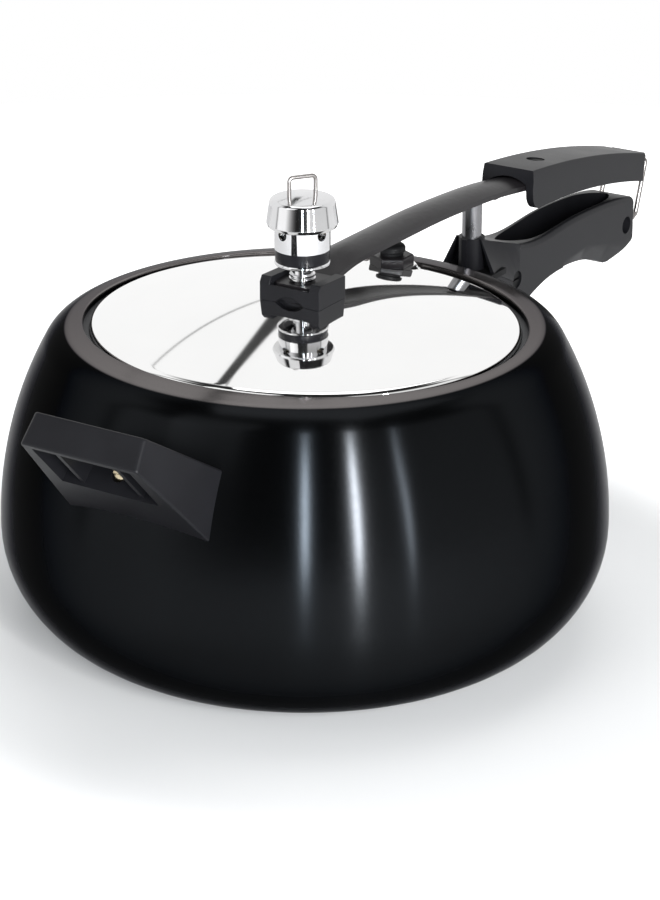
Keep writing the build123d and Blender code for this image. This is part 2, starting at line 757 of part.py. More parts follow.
with BuildPart() as helper_handle:
    root_share = 0.3
    root = wedge_face(
        extend(helper_front_top, helper_root_top, root_share),
        extend(helper_lip, helper_root_foot, root_share),
        helper_root_half + root_share * (helper_root_half - helper_front_half),
        helper_root_half + root_share * (helper_root_half - helper_lip_half),
    )
    front = wedge_face(helper_front_top, helper_lip, helper_front_half, helper_lip_half)
    loft(sections=[root.face(), front.face()], ruled=True)
    front_corners = edges().filter_by(lambda e: e.center().X < helper_front_top[0] and abs(e.center().Y) > 20)
    fillet(front_corners, helper_corner)
    upright = faces().sort_by(lambda f: f.normal_at().Z)
    outline = (upright[0].edges() + upright[-1].edges()).filter_by(lambda e: e.center().X < -belly_radius + 4)
    fillet(outline, helper_edge)
    # Finger hollow, open through the slanting underside, with a rib each side of the screw.
    slant = Vector(helper_root_foot[0] - helper_lip[0], 0, helper_root_foot[1] - helper_lip[1]).normalized()
    side_plane = Plane(origin=(helper_lip[0], 0, helper_lip[1]), x_dir=slant, z_dir=(0, -1, 0))
    hollow_half = helper_front_half - helper_wall
    with BuildSketch(side_plane):
        with BuildLine():
            Polyline(
                (helper_wall, -1),
                (helper_wall - 1.7, helper_hollow_depth),
                (helper_hollow_run, helper_hollow_depth + 0.266 * helper_hollow_run),
                (helper_hollow_run, -1),
                close=True,
            )
        make_face()
    extrude(amount=hollow_half, both=True, mode=Mode.SUBTRACT)
    for side in (1, -1):
        with BuildSketch(side_plane.offset(side * helper_rib_place)):
            with BuildLine():
                Polyline(
                    (helper_wall - 0.5, helper_rib_set),
                    (helper_wall - 2.2, helper_hollow_depth + 0.5),
                    (helper_hollow_run + 0.5, helper_hollow_depth + 0.266 * helper_hollow_run + 0.5),
                    (helper_hollow_run + 0.5, helper_rib_set),
                    close=True,
                )
            make_face()
        extrude(amount=helper_rib_thickness / 2, both=True)
    with BuildSketch(helper_plane):
        Circle(helper_boss_radius)
    extrude(amount=helper_boss_length)
    add(pot_volume.part, mode=Mode.SUBTRACT)
    with BuildSketch(helper_plane):
        Circle(helper_stud_radius + slip_gap)
    extrude(amount=helper_stud_length + slip_gap, both=True, mode=Mode.SUBTRACT)
    # Slot that lets a screwdriver and the eye reach the screw from below.
    with BuildSketch(helper_plane.offset(helper_boss_length)):
        Circle(helper_screw_head + swing_gap)
        with Locations((0, -8)):
            Rectangle(2 * helper_screw_head + 2 * swing_gap, 16)
    extrude(amount=9, mode=Mode.SUBTRACT)
    with BuildSketch(helper_plane):
        Circle(helper_screw_radius + slip_gap)
    extrude(amount=30, mode=Mode.SUBTRACT)

with BuildPart() as helper_handle_stud:
    # Riveted stud: flange and threaded barrel outside, closed head inside the pot.
    with BuildSketch(Plane.XZ):
        with BuildLine():
            Polyline(
                (0, -pot_wall - rivet_head_height),
                (rivet_head_radius * 0.8, -pot_wall - rivet_head_height),
                (rivet_head_radius, -pot_wall - 0.15),
                (rivet_radius, -pot_wall - 0.15),
                (rivet_radius, 0.1),
                (helper_stud_radius, 0.1),
                (helper_stud_radius, helper_stud_length),
                (helper_screw_radius, helper_stud_length),
                (helper_screw_radius, 1.0),
                (0, 1.0),
                close=True,
            )
        make_face()
    revolve(axis=Axis.Z)
helper_handle_stud.part = helper_plane * helper_handle_stud.part

with BuildPart() as helper_handle_screw:
    with BuildSketch(Plane.XZ):
        with BuildLine():
            head_top = helper_boss_length + helper_screw_head_height
            Polyline(
                (0, head_top),
                (0, 1.4),
                (helper_screw_radius, 1.4),
                (helper_screw_radius, helper_boss_length),
                (helper_screw_head, helper_boss_length),
                (helper_screw_head, head_top - 1),
            )
            TangentArc((0, head_top), (helper_screw_head, head_top - 1), tangent=(1, 0))
        make_face()
    revolve(axis=Axis.Z)
    with Locations((0, 0, head_top)):
        Box(2 * helper_screw_head + 1, 1.0, 2.2, mode=Mode.SUBTRACT)
helper_handle_screw.part = helper_plane * helper_handle_screw.part

# ================================================================== lid
with BuildPart() as lid_volume:
    # Everything under the dome's outer face, used only to shape what sits on the lid.
    with BuildSketch(Plane.XZ):
        with BuildLine():
            crown = TangentArc((0, lid_crown_height), (dome_radius, dome_edge_height), tangent=(1, 0))
            Polyline(crown @ 1, (dome_radius, flange_bottom), (0, flange_bottom), crown @ 0)
        make_face()
    revolve(axis=Axis.Z)
    scale(by=(oval_x, oval_y, 1))

with BuildPart() as lid:
    with BuildSketch(Plane.XZ):
        with BuildLine():
            crown = TangentArc((0, lid_crown_height), (dome_radius, dome_edge_height), tangent=(1, 0))
            bead = TangentArc(crown @ 1, (step_radius, dome_edge_height - lid_bead), tangent=crown % 1)
            skirt = Polyline(bead @ 1, (step_radius, flange_top), (lid_radius, flange_top))
            edge = Polyline(skirt @ 1, (lid_radius, flange_bottom), (step_radius - lid_thickness, flange_bottom))
            inner_bead = Line(edge @ 1, (step_radius - lid_thickness, dome_edge_height - lid_bead))
            under = TangentArc(
                (0, lid_crown_height - lid_thickness),
                (dome_radius, dome_edge_height - lid_thickness),
                tangent=(1, 0),
            )
            TangentArc(under @ 1, inner_bead @ 1, tangent=under % 1)
            Line(under @ 0, crown @ 0)
        make_face()
    revolve(axis=Axis.Z)
    scale(by=(oval_x, oval_y, 1))
    with BuildSketch(Plane.XY.offset(valve_pad_height)):
        with Locations((valve_x, valve_y)):
            Circle(valve_pad_radius)
    extrude(amount=-lid_thickness)
    with BuildSketch(Plane.XY.offset(valve_pad_height)):
        with Locations((valve_x, valve_y)):
            Circle(valve_pad_radius)
    extrude(amount=5, mode=Mode.SUBTRACT)
    with BuildSketch(Plane.XY.offset(valve_pad_height - lid_thickness)):
        with Locations((valve_x, valve_y)):
            Circle(valve_pad_radius - lid_thickness)
    extrude(amount=-4, mode=Mode.SUBTRACT)
    with Locations((vent_x, 0, lid_crown_height)):
        Hole(vent_thread + slip_gap, depth=20)
    with Locations((valve_x, valve_y, valve_pad_height)):
        Hole(valve_stem + slip_gap, depth=10)

with BuildPart() as lid_gasket:
    gasket_radius = lid_radius + gasket_overhang
    gasket_inner = step_radius + 0.4
    gasket_bottom = flange_bottom - gasket_lip
    with BuildSketch(Plane.XZ):
        with BuildLine():
            Polyline(
                (gasket_inner, gasket_top),
                (gasket_radius, gasket_top),
                (gasket_radius, gasket_bottom),
                (gasket_inner, gasket_bottom),
                (gasket_inner, flange_bottom),
                (lid_radius, flange_bottom),
                (lid_radius, flange_top),
                (gasket_inner, flange_top),
                close=True,
            )
        make_face()
        fillet(vertices().sort_by(Axis.X)[-2:], gasket_corner)
    revolve(axis=Axis.Z)
    scale(by=(oval_x, oval_y, 1))

# ================================================================== saddle between lid and bar
with BuildPart() as lid_saddle:
    with BuildSketch(Plane.XZ):
        with BuildLine():
            Polyline(
                (saddle_front, lid_crown_height - 2),
                (saddle_front, saddle_top - 2.4),
                (saddle_front + 1.4, saddle_top),
                (saddle_back, saddle_top - 0.5),
                (saddle_back, lid_crown_height - 2),
                close=True,
            )
        make_face()
    extrude(amount=saddle_half_width, both=True)
    # Trough for the flat end of the bar, open towards the handle.
    trough_half = bar_end_half_width + swing_gap
    trough_front = bar_end_front - 0.7
    with Locations(((trough_front + saddle_back + 1) / 2, 0, (saddle_floor + saddle_top + 2) / 2)):
        Box(
            saddle_back + 1 - trough_front,
            2 * trough_half,
            saddle_top + 2 - saddle_floor,
            mode=Mode.SUBTRACT,
        )
    with Locations((saddle_front, 0, saddle_front_lip + 5)):
        Box(8, 2 * trough_half, 10, mode=Mode.SUBTRACT)
    # Arched relief under the front edge.
    with BuildSketch(Plane.YZ.offset(saddle_front - 1)):
        with BuildLine():
            relief = ThreePointArc((-7.5, lid_crown_height - 2), (0, lid_crown_height + 2.6), (7.5, lid_crown_height - 2))
            Line(relief @ 1, relief @ 0)
        make_face()
    extrude(amount=3.5, mode=Mode.SUBTRACT)
    add(lid_volume.part, mode=Mode.SUBTRACT)
    with Locations((vent_x, 0, saddle_top)):
        Hole(vent_thread + slip_gap)

# ================================================================== steam vent, its seal and nut
with BuildPart() as steam_vent:
    vent_foot = lid_crown_height - lid_thickness - vent_seal_thickness - vent_nut_height - 2.5
    with BuildSketch(Plane.XZ):
        with BuildLine():
            Polyline(
                (vent_bore, vent_foot),
                (vent_thread, vent_foot),
                (vent_thread, saddle_floor),
                (vent_sleeve, saddle_floor),
                (vent_sleeve, vent_flange_bottom),
                (vent_flange, vent_flange_bottom),
                (vent_flange, vent_flange_bottom + 0.9),
                (vent_flange - 0.6, vent_flange_bottom + 1.1),
                (vent_flange - 0.6, vent_flange_top - 0.9),
                (vent_flange - 0.2, vent_flange_top - 0.7),
                (vent_flange - 0.2, vent_flange_top),
                (vent_neck, vent_flange_top),
                (vent_neck, vent_top - 0.5),
                (vent_neck - 0.5, vent_top),
                (vent_bore + vent_seat_depth, vent_top),
                (vent_bore, vent_top - vent_seat_depth),
                close=True,
            )
        make_face()
    revolve(axis=Axis.Z)

with BuildPart() as vent_seal:
    seal_top = lid_crown_height - lid_thickness - 0.16
    with BuildSketch(Plane.XY.offset(seal_top)):
        Circle(vent_seal_radius)
        Circle(vent_thread, mode=Mode.SUBTRACT)
    extrude(amount=-vent_seal_thickness)

with BuildPart() as vent_nut:
    with BuildSketch(Plane.XY.offset(seal_top - vent_seal_thickness)):
        RegularPolygon(vent_nut_flats / 2, 6, major_radius=False)
        Circle(vent_thread, mode=Mode.SUBTRACT)
    extrude(amount=-vent_nut_height)

# ================================================================== safety valve
with BuildPart() as safety_valve:
    hex_turn = 2.8
    with BuildSketch(Plane.XY.offset(valve_pad_height)):
        with Locations(Location((valve_x, valve_y, 0), (0, 0, hex_turn))):
            RegularPolygon(valve_hex_flats / 2, 6, major_radius=False)
    extrude(amount=valve_hex_height)
    chamfer(faces().sort_by(Axis.Z)[-1].edges(), 0.5)
    with BuildSketch(Plane.XY.offset(valve_pad_height)):
        with Locations((valve_x, valve_y)):
            Circle(valve_stem)
    valve_foot = valve_pad_height - lid_thickness - valve_seal_thickness - valve_nut_height - 1.2
    extrude(amount=valve_foot - valve_pad_height)
    with Locations((valve_x, valve_y, valve_foot)):
        Cylinder(1.5, 12, align=(Align.CENTER, Align.CENTER, Align.MIN), mode=Mode.SUBTRACT)

with BuildPart() as safety_plug:
    plug_base = valve_pad_height + valve_hex_height
    with BuildSketch(Plane.XZ):
        with BuildLine():
            Polyline(
                (0, plug_base),
                (valve_plug_radius - 0.8, plug_base),
                (valve_plug_radius - 0.8, plug_base + 1.2),
                (valve_plug_radius, plug_base + 1.6),
                (valve_plug_radius, plug_base + valve_plug_height - 1.8),
            )
            plug_top = plug_base + valve_plug_height
            plug_dome = TangentArc((0, plug_top), (valve_plug_radius - 1.4, plug_top - 0.5), tangent=(1, 0))
            TangentArc(plug_dome @ 1, (valve_plug_radius, plug_top - 1.8), tangent=plug_dome % 1)
            Line((0, plug_top), (0, plug_base))
        make_face()
    revolve(axis=Axis.Z)
safety_plug.part = Location((valve_x, valve_y, 0)) * safety_plug.part

with BuildPart() as safety_seal:
    valve_under = valve_pad_height - lid_thickness
    with BuildSketch(Plane.XY.offset(valve_under)):
        with Locations((valve_x, valve_y)):
            Circle(valve_nut_flats / 2 + 1)
            Circle(valve_stem, mode=Mode.SUBTRACT)
    extrude(amount=-valve_seal_thickness)

with BuildPart() as safety_nut:
    with BuildSketch(Plane.XY.offset(valve_under - valve_seal_thickness)):
        with Locations((valve_x, valve_y)):
            RegularPolygon(valve_nut_flats / 2, 6, major_radius=False)
            Circle(valve_stem, mode=Mode.SUBTRACT)
    extrude(amount=-valve_nut_height)

# ================================================================== pressure regulator
with BuildPart() as regulator_body:
    bore = vent_neck + running_gap
    clip_floor = band_bottom + 0.6
    with BuildSketch(Plane.XZ):
        with BuildLine():
            Polyline(
                (bore, regulator_bottom),
                (regulator_spigot, regulator_bottom),
                (regulator_spigot, band_top),
                (regulator_radius, band_top),
                (regulator_radius, regulator_shoulder),
                (cap_spigot, regulator_shoulder),
                (cap_spigot, regulator_shoulder + cap_spigot_height),
                (chamber_radius, regulator_shoulder + cap_spigot_height),
                (chamber_radius, chamber_floor),
                (bore, chamber_floor),
                (bore, clip_floor + clip_height),
                (bore + 1, clip_floor + clip_height),
                (bore + 1, clip_floor),
                (bore, clip_floor),
                close=True,
            )
        make_face()
    revolve(axis=Axis.Z)
    with Locations(Location((0, 0, regulator_shoulder - steam_hole_radius + 0.4))):
        with PolarLocations(0, steam_hole_count, start_angle=steam_hole_start):
            Cylinder(
                steam_hole_radius,
                2 * regulator_radius,
                rotation=(0, 90, 0),
                align=(Align.CENTER, Align.CENTER, Align.MIN),
                mode=Mode.SUBTRACT,
            )

with BuildPart() as regulator_ring:
    with BuildSketch(Plane.XY.offset(regulator_bottom)):
        Circle(regulator_radius)
        Circle(regulator_spigot, mode=Mode.SUBTRACT)
    extrude(amount=regulator_ring_height)
    fillet(edges().group_by(SortBy.LENGTH)[-1], 0.5)

with BuildPart() as regulator_band:
    with BuildSketch(Plane.XY.offset(band_bottom)):
        Circle(regulator_band_radius)
        Circle(regulator_spigot, mode=Mode.SUBTRACT)
    extrude(amount=regulator_band_height)

with BuildPart() as regulator_clip:
    with BuildSketch(Plane.XY.offset(clip_floor + slip_gap)):
        Circle(bore + 0.85)
        Circle(bore, mode=Mode.SUBTRACT)
        with Locations((bore, 0)):
            Rectangle(4, 3, mode=Mode.SUBTRACT)
    extrude(amount=clip_height - 2 * slip_gap)

with BuildPart() as regulator_cap:
    with BuildSketch(Plane.XZ):
        with BuildLine():
            lip = Polyline(
                (cap_spigot, regulator_shoulder + cap_spigot_height),
                (cap_spigot, regulator_shoulder),
                (cap_radius - 0.6, regulator_shoulder),
                (cap_radius, regulator_shoulder + 1.4),
                (cap_shoulder_radius, cap_shoulder_height),
            )
            roof = TangentArc((0, cap_top), (cap_shoulder_radius - 1.6, cap_top - 0.7), tangent=(1, 0))
            TangentArc(roof @ 1, lip @ 1, tangent=roof % 1)
            Polyline(
                roof @ 0,
                (0, chamber_ceiling),
                (chamber_radius, chamber_ceiling),
                (chamber_radius, regulator_shoulder + cap_spigot_height),
                lip @ 0,
            )
        make_face()
    revolve(axis=Axis.Z)
    with BuildSketch(Plane.XY.offset(cap_top)):
        with Locations(Location((0, 0, 0), (0, 0, lifting_loop_turn))):
            with Locations((lifting_loop_half_width, 0), (-lifting_loop_half_width, 0)):
                Circle(lifting_loop_wire + slip_gap)
    extrude(amount=chamber_ceiling + 0.8 - cap_top, mode=Mode.SUBTRACT)

with BuildPart() as lifting_loop:
    loop_feet = chamber_ceiling + 0.9
    with BuildLine() as lifting_path:
        FilletPolyline(
            (-lifting_loop_half_width, 0, loop_feet),
            (-lifting_loop_half_width, 0, lifting_loop_top - lifting_loop_wire),
            (lifting_loop_half_width, 0, lifting_loop_top - lifting_loop_wire),
            (lifting_loop_half_width, 0, loop_feet),
            radius=1.6,
        )
    with BuildSketch(Plane(origin=lifting_path.line @ 0, z_dir=lifting_path.line % 0)):
        Circle(lifting_loop_wire)
    sweep()
lifting_loop.part = Rotation(0, 0, lifting_loop_turn) * lifting_loop.part

# ------------------------------------------------------------------ needle and spring inside the regulator
with BuildPart() as regulator_needle:
    with BuildSketch(Plane.XZ):
        with BuildLine():
            flange_top = needle_flange_bottom + needle_flange_thickness
            Polyline(
                (0, vent_top - vent_seat_depth + seat_gap),
                (vent_bore - 2 * seat_gap, vent_top - vent_seat_depth + seat_gap),
                (needle_stem, vent_top - vent_seat_depth + needle_stem - vent_bore + 3 * seat_gap),
                (needle_stem, needle_flange_bottom),
                (chamber_radius - 2 * slip_gap, needle_flange_bottom),
                (chamber_radius - 2 * slip_gap, flange_top),
                (needle_upper_stem, flange_top),
                (needle_upper_stem, flange_top + needle_length - needle_flange_thickness),
                (0, flange_top + needle_length - needle_flange_thickness),
                close=True,
            )
        make_face()
    revolve(axis=Axis.Z)
    with Locations((0, 0, needle_flange_bottom + needle_flange_thickness / 2)):
        with PolarLocations(chamber_radius, 3):
            Cylinder(1.6, 2 * needle_flange_thickness, mode=Mode.SUBTRACT)

with BuildPart() as regulator_spring:
    spring_foot = needle_flange_bottom + needle_flange_thickness + spring_wire + slip_gap
    spring_height = chamber_ceiling - spring_wire - slip_gap - spring_foot
    with BuildLine() as coil:
        Helix(pitch=spring_height / spring_turns, height=spring_height, radius=spring_radius, center=(0, 0, spring_foot))
    with BuildSketch(Plane(origin=coil.line @ 0, z_dir=coil.line % 0)):
        Circle(spring_wire)
    sweep()


# ================================================================== lever bar
def bar_section(place, half_width, edge, crown, side):
    """Arched strip across X at a place: lower corners at edge, top of the arch at crown."""
    with BuildSketch(Plane(origin=(place, 0, 0), x_dir=(0, 1, 0), z_dir=(1, 0, 0))) as made:
        with BuildLine():
            outer = ThreePointArc((-half_width, edge + side), (0, crown), (half_width, edge + side))
            inner = ThreePointArc((half_width, edge), (0, crown - bar_thickness), (-half_width, edge))
            Line(outer @ 1, inner @ 0)
            Line(inner @ 1, outer @ 0)
        make_face()
    return made.sketch.face()


bar_half_width = 8.7
bar_edge = 2.2
# Places along the bar, from its front end and from the post.
bar_root = 16
bar_rise = 24
bar_knee = 36
bar_span = 60
bar_before_post = 39.5
bar_near_post = 17.5
bar_past_post = 8.5
bar_neck = 30.5
bar_tail_start = 54.5
bar_tail_middle = 82.5
bar_tail_end = 110.5
# Drop of the bar's lower corner and crown at its stations past the post.
bar_neck_drop = 4.3
bar_tail_drops = (7.1, 2.8, 10.6, 6.4, 15.1, 11.1)

bar_stations = (
    # place, half width, lower corner, crown, height of the edge
    (bar_end_back - 1, bar_half_width, bar_end_bottom, bar_end_top + 0.02, bar_edge),
    (bar_root, bar_half_width, bar_end_top - 0.5, bar_end_top + 2.5, bar_edge),
    (bar_rise, bar_half_width, bar_end_top + 0.7, bar_end_top + 4.8, bar_edge),
    (bar_knee, bar_half_width, bar_end_top + 1.1, bar_end_top + 5.7, bar_edge),
    (bar_span, bar_half_width, bar_end_top + 1.2, bar_end_top + 5.8, bar_edge),
    (post_x - bar_before_post, bar_half_width, bar_end_top + 1.1, bar_end_top + 5.7, bar_edge),
    (post_x - bar_near_post, bar_half_width, bar_end_top + 0.2, bar_end_top + 4.8, bar_edge),
    (post_x + bar_past_post, bar_half_width, bar_end_top - 1.6, bar_end_top + 3.0, bar_edge),
    (post_x + bar_neck, bar_half_width, bar_end_top - bar_neck_drop, bar_end_top + 0.2, bar_edge),
    (
        post_x + bar_tail_start,
        bar_tail_half_width,
        bar_end_top - bar_tail_drops[0],
        bar_end_top - bar_tail_drops[1],
        bar_edge,
    ),
    (
        post_x + bar_tail_middle,
        bar_tail_half_width,
        bar_end_top - bar_tail_drops[2],
        bar_end_top - bar_tail_drops[3],
        bar_edge,
    ),
    (
        post_x + bar_tail_end,
        bar_tail_half_width,
        bar_end_top - bar_tail_drops[4],
        bar_end_top - bar_tail_drops[5],
        bar_edge,
    ),
)

with BuildPart() as lid_bar:
    loft(sections=[bar_section(*station) for station in bar_stations])
    with BuildSketch(Plane.XY.offset(bar_end_bottom)):
        with Locations(((bar_end_front + bar_end_back) / 2, 0)):
            Rectangle(bar_end_back - bar_end_front, 2 * bar_end_half_width)
        fillet(vertices().group_by(Axis.X)[0], 2.5)
    extrude(amount=bar_end_thickness)
    with Locations((vent_x, 0, bar_end_top)):
        Hole(vent_sleeve + swing_gap, depth=10)
    with Locations((lid_screw_x, 0, lid_handle_front_z)):
        Hole(lid_screw_radius + slip_gap, depth=30)

# ================================================================== lid handle
with BuildPart() as lid_handle:
    chord = Vector(lid_handle_end_x - lid_handle_front_x, lid_handle_end_z - lid_handle_front_z)
    crest = Vector(lid_handle_front_x, lid_handle_front_z) + chord / 2
    crest = crest + Vector(-chord.Y, chord.X).normalized() * lid_handle_bow
    with BuildSketch(Plane.XZ):
        with BuildLine():
            top = ThreePointArc(
                (lid_handle_front_x, lid_handle_front_z),
                (crest.X, crest.Y),
                (lid_handle_end_x, lid_handle_end_z),
            )
            end = Line(top @ 1, (lid_handle_end_x - 2.1, lid_handle_end_z - 12.7))
            under = ThreePointArc(
                end @ 1,
                (lid_handle_front_x + 0.52 * chord.X, bar_end_top - 16.8),
                (lid_handle_front_x + 7.7, bar_end_top - 12.8),
            )
            chin = ThreePointArc(
                under @ 1,
                (lid_handle_front_x + 2.1, bar_end_top - 11.4),
                (lid_handle_front_x - 0.5, bar_end_top - 7.0),
            )
            Polyline(chin @ 1, (lid_handle_front_x - 0.9, bar_end_top - 3.6), top @ 0)
        make_face()
    extrude(amount=lid_handle_front_half + 1, both=True)
    # The handle narrows a little towards its end.
    with BuildSketch(Plane.XY.offset(lid_handle_below)):
        with BuildLine():
            Polyline(
                (lid_handle_front_x - 2, -lid_handle_front_half),
                (lid_handle_end_x + 1, -handle_half_width),
                (lid_handle_end_x + 1, handle_half_width),
                (lid_handle_front_x - 2, lid_handle_front_half),
                close=True,
            )
        make_face()
    extrude(amount=60, mode=Mode.INTERSECT)
    # A crease runs along each side a little below the top.
    crown_face = faces().filter_by(lambda f: f.normal_at().Z > 0.9).sort_by(SortBy.AREA)[-1]
    crown_sides = crown_face.edges().filter_by(lambda e: abs(e.center().Y) > 5)
    chamfer(crown_sides, length=lid_handle_lean, length2=lid_handle_crease, reference=crown_face)
    crown_face = faces().filter_by(lambda f: f.normal_at().Z > 0.9).sort_by(SortBy.AREA)[-1]
    fillet(crown_face.edges().filter_by(lambda e: abs(e.center().Y) > 5), lid_handle_edge)
    with BuildSketch(Plane.XZ):
        with BuildLine():
            inner_top = ThreePointArc(
                (lid_handle_front_x + lid_handle_wall, lid_handle_front_z - lid_handle_roof - 0.2),
                (crest.X, crest.Y - lid_handle_roof),
                (lid_handle_end_x - lid_handle_end_wall, lid_handle_end_z - lid_handle_roof + 0.2),
            )
            Polyline(
                inner_top @ 1,
                (lid_handle_end_x - lid_handle_end_wall - 2, lid_handle_below),
                (lid_handle_front_x + lid_handle_wall, lid_handle_below),
                inner_top @ 0,
            )
        make_face()
    extrude(amount=handle_half_width - lid_handle_wall, both=True, mode=Mode.SUBTRACT)
    # Arched mouth that follows the bar.
    with BuildSketch(Plane.YZ.offset(lid_handle_front_x - 10)):
        with BuildLine():
            mouth_half = handle_half_width - lid_handle_wall
            mouth = ThreePointArc(
                (-mouth_half, bar_end_top - 1.9), (0, bar_end_top + 0.9), (mouth_half, bar_end_top - 1.9)
            )
            Polyline(mouth @ 1, (mouth_half, lid_handle_below), (-mouth_half, lid_handle_below), mouth @ 0)
        make_face()
    extrude(amount=10 + lid_handle_wall + 1, mode=Mode.SUBTRACT)
    # Boss that carries the screw down to the bar.
    with BuildSketch(Plane.XY.offset(lid_screw_seat)):
        with Locations((lid_screw_x, 0)):
            Circle(lid_screw_head + 2)
    extrude(amount=-3)
    add(lid_bar.part, mode=Mode.SUBTRACT)
    with Locations((lid_screw_x, 0, lid_screw_seat + lid_screw_start)):
        Hole(lid_screw_radius + slip_gap, depth=lid_screw_bore)
    with BuildSketch(Plane.XY.offset(lid_screw_seat)):
        with Locations((lid_screw_x, 0)):
            Circle(lid_screw_head + slip_gap)
    extrude(amount=10, mode=Mode.SUBTRACT)
    # Lug on the end face for the lock loop's axle.
    lug_half = loop_half_width - loop_wire - swing_gap
    with BuildSketch(Plane.XZ):
        with BuildLine():
            Polyline(
                (loop_pivot_x, loop_pivot_z + pivot_lug),
                (lid_handle_end_x - 5.3, loop_pivot_z + pivot_lug),
                (lid_handle_end_x - 5.3, loop_pivot_z - pivot_lug - 2),
                (lid_handle_end_x - 1.8, loop_pivot_z - pivot_lug - 2),
                (loop_pivot_x, loop_pivot_z - pivot_lug),
            )
            ThreePointArc(
                (loop_pivot_x, loop_pivot_z - pivot_lug),
                (loop_pivot_x + pivot_lug, loop_pivot_z),
                (loop_pivot_x, loop_pivot_z + pivot_lug),
            )
        make_face()
    extrude(amount=lug_half, both=True)
    with BuildSketch(Plane.XZ):
        with Locations((loop_pivot_x, loop_pivot_z)):
            Circle(loop_wire + running_gap)
    extrude(amount=handle_half_width, both=True, mode=Mode.SUBTRACT)

with BuildPart() as lid_handle_screw:
    with BuildSketch(Plane.XY.offset(lid_screw_seat)):
        with Locations((lid_screw_x, 0)):
            Circle(lid_screw_head)
    extrude(amount=lid_screw_head_height)
    with BuildSketch(Plane.XY.offset(lid_screw_seat)):
        with Locations((lid_screw_x, 0)):
            Circle(lid_screw_radius)
    extrude(amount=lid_nut_top - lid_nut_height - 1 - lid_screw_seat)
    with Locations((lid_screw_x, 0, lid_screw_seat + lid_screw_head_height)):
        Box(1.0, 2 * lid_screw_head + 1, 1.6, mode=Mode.SUBTRACT)

with BuildPart() as lid_handle_nut:
    with BuildSketch(Plane.XY.offset(lid_nut_top)):
        with Locations((lid_screw_x, 0)):
            Rectangle(lid_nut_side, lid_nut_side)
            Circle(lid_screw_radius, mode=Mode.SUBTRACT)
    extrude(amount=-lid_nut_height)

# ================================================================== lock loop
def bent_wire(points, radius):
    """Edges of a wire through points, each inner corner bent to a radius."""
    points = [Vector(*point) for point in points]
    edges = []
    start = points[0]
    for before, corner, after in zip(points, points[1:], points[2:]):
        arrive = (before - corner).normalized()
        leave = (after - corner).normalized()
        half_angle = radians(arrive.get_angle(leave)) / 2
        setback = radius / tan(half_angle)
        middle = corner + (arrive + leave).normalized() * (radius / sin(half_angle) - radius)
        edges.append(Edge.make_line(start, corner + arrive * setback))
        edges.append(Edge.make_three_point_arc(corner + arrive * setback, middle, corner + leave * setback))
        start = corner + leave * setback
    edges.append(Edge.make_line(start, points[-1]))
    return edges


with BuildPart() as lock_loop:
    with BuildLine() as loop_path:
        half_path = (
            (loop_pivot_x, 0, loop_pivot_z),
            (loop_pivot_x, loop_half_width, loop_pivot_z),
            (loop_knee_x, loop_half_width, loop_knee_z),
            (loop_bar_x, loop_half_width, loop_bar_z),
            (loop_bar_x, 0, loop_bar_z),
        )
        mirrored = tuple((x, -y, z) for x, y, z in reversed(half_path[:-1]))
        add(bent_wire(half_path[:-1] + mirrored, loop_bend))
    with BuildSketch(Plane(origin=half_path[0], z_dir=(0, 1, 0))):
        Circle(loop_wire)
    sweep(path=loop_path.line)

# ================================================================== export
pieces = {
    "pot_body": pot_body.part,
    "handle_bracket": handle_bracket.part,
    "bracket_rivets": bracket_rivets,
    "fulcrum_post": fulcrum_post.part,
    "body_handle": body_handle.part,
    "body_handle_bolt": body_handle_bolt.part,
    "body_handle_nut": body_handle_nut.part,
    "helper_handle": helper_handle.part,
    "helper_handle_stud": helper_handle_stud.part,
    "helper_handle_screw": helper_handle_screw.part,
    "lid": lid.part,
    "lid_gasket": lid_gasket.part,
    "lid_saddle": lid_saddle.part,
    "steam_vent": steam_vent.part,
    "vent_seal": vent_seal.part,
    "vent_nut": vent_nut.part,
    "safety_valve": safety_valve.part,
    "safety_plug": safety_plug.part,
    "safety_seal": safety_seal.part,
    "safety_nut": safety_nut.part,
    "regulator_body": regulator_body.part,
    "regulator_ring": regulator_ring.part,
    "regulator_band": regulator_band.part,
    "regulator_clip": regulator_clip.part,
    "regulator_cap": regulator_cap.part,
    "lifting_loop": lifting_loop.part,
    "regulator_needle": regulator_needle.part,
    "regulator_spring": regulator_spring.part,
    "lid_bar": lid_bar.part,
    "lid_handle": lid_handle.part,
    "lid_handle_screw": lid_handle_screw.part,
    "lid_handle_nut": lid_handle_nut.part,
    "lock_loop": lock_loop.part,
}
on_vent_axis = ("steam_vent", "vent_seal", "vent_nut", "lifting_loop")
for name, piece in pieces.items():
    if name in on_vent_axis or name.startswith("regulator_"):
        piece = Location((vent_x, 0, 0)) * piece
    piece.label = name
    export_step(piece, f"parts/{name}.step")
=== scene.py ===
"""Dresses the stovetop pressure cooker and sets up its studio."""

import json
import math

import bmesh
import bpy
from bpy.props import FloatProperty, FloatVectorProperty, IntProperty, PointerProperty
from mathutils import Matrix, Vector

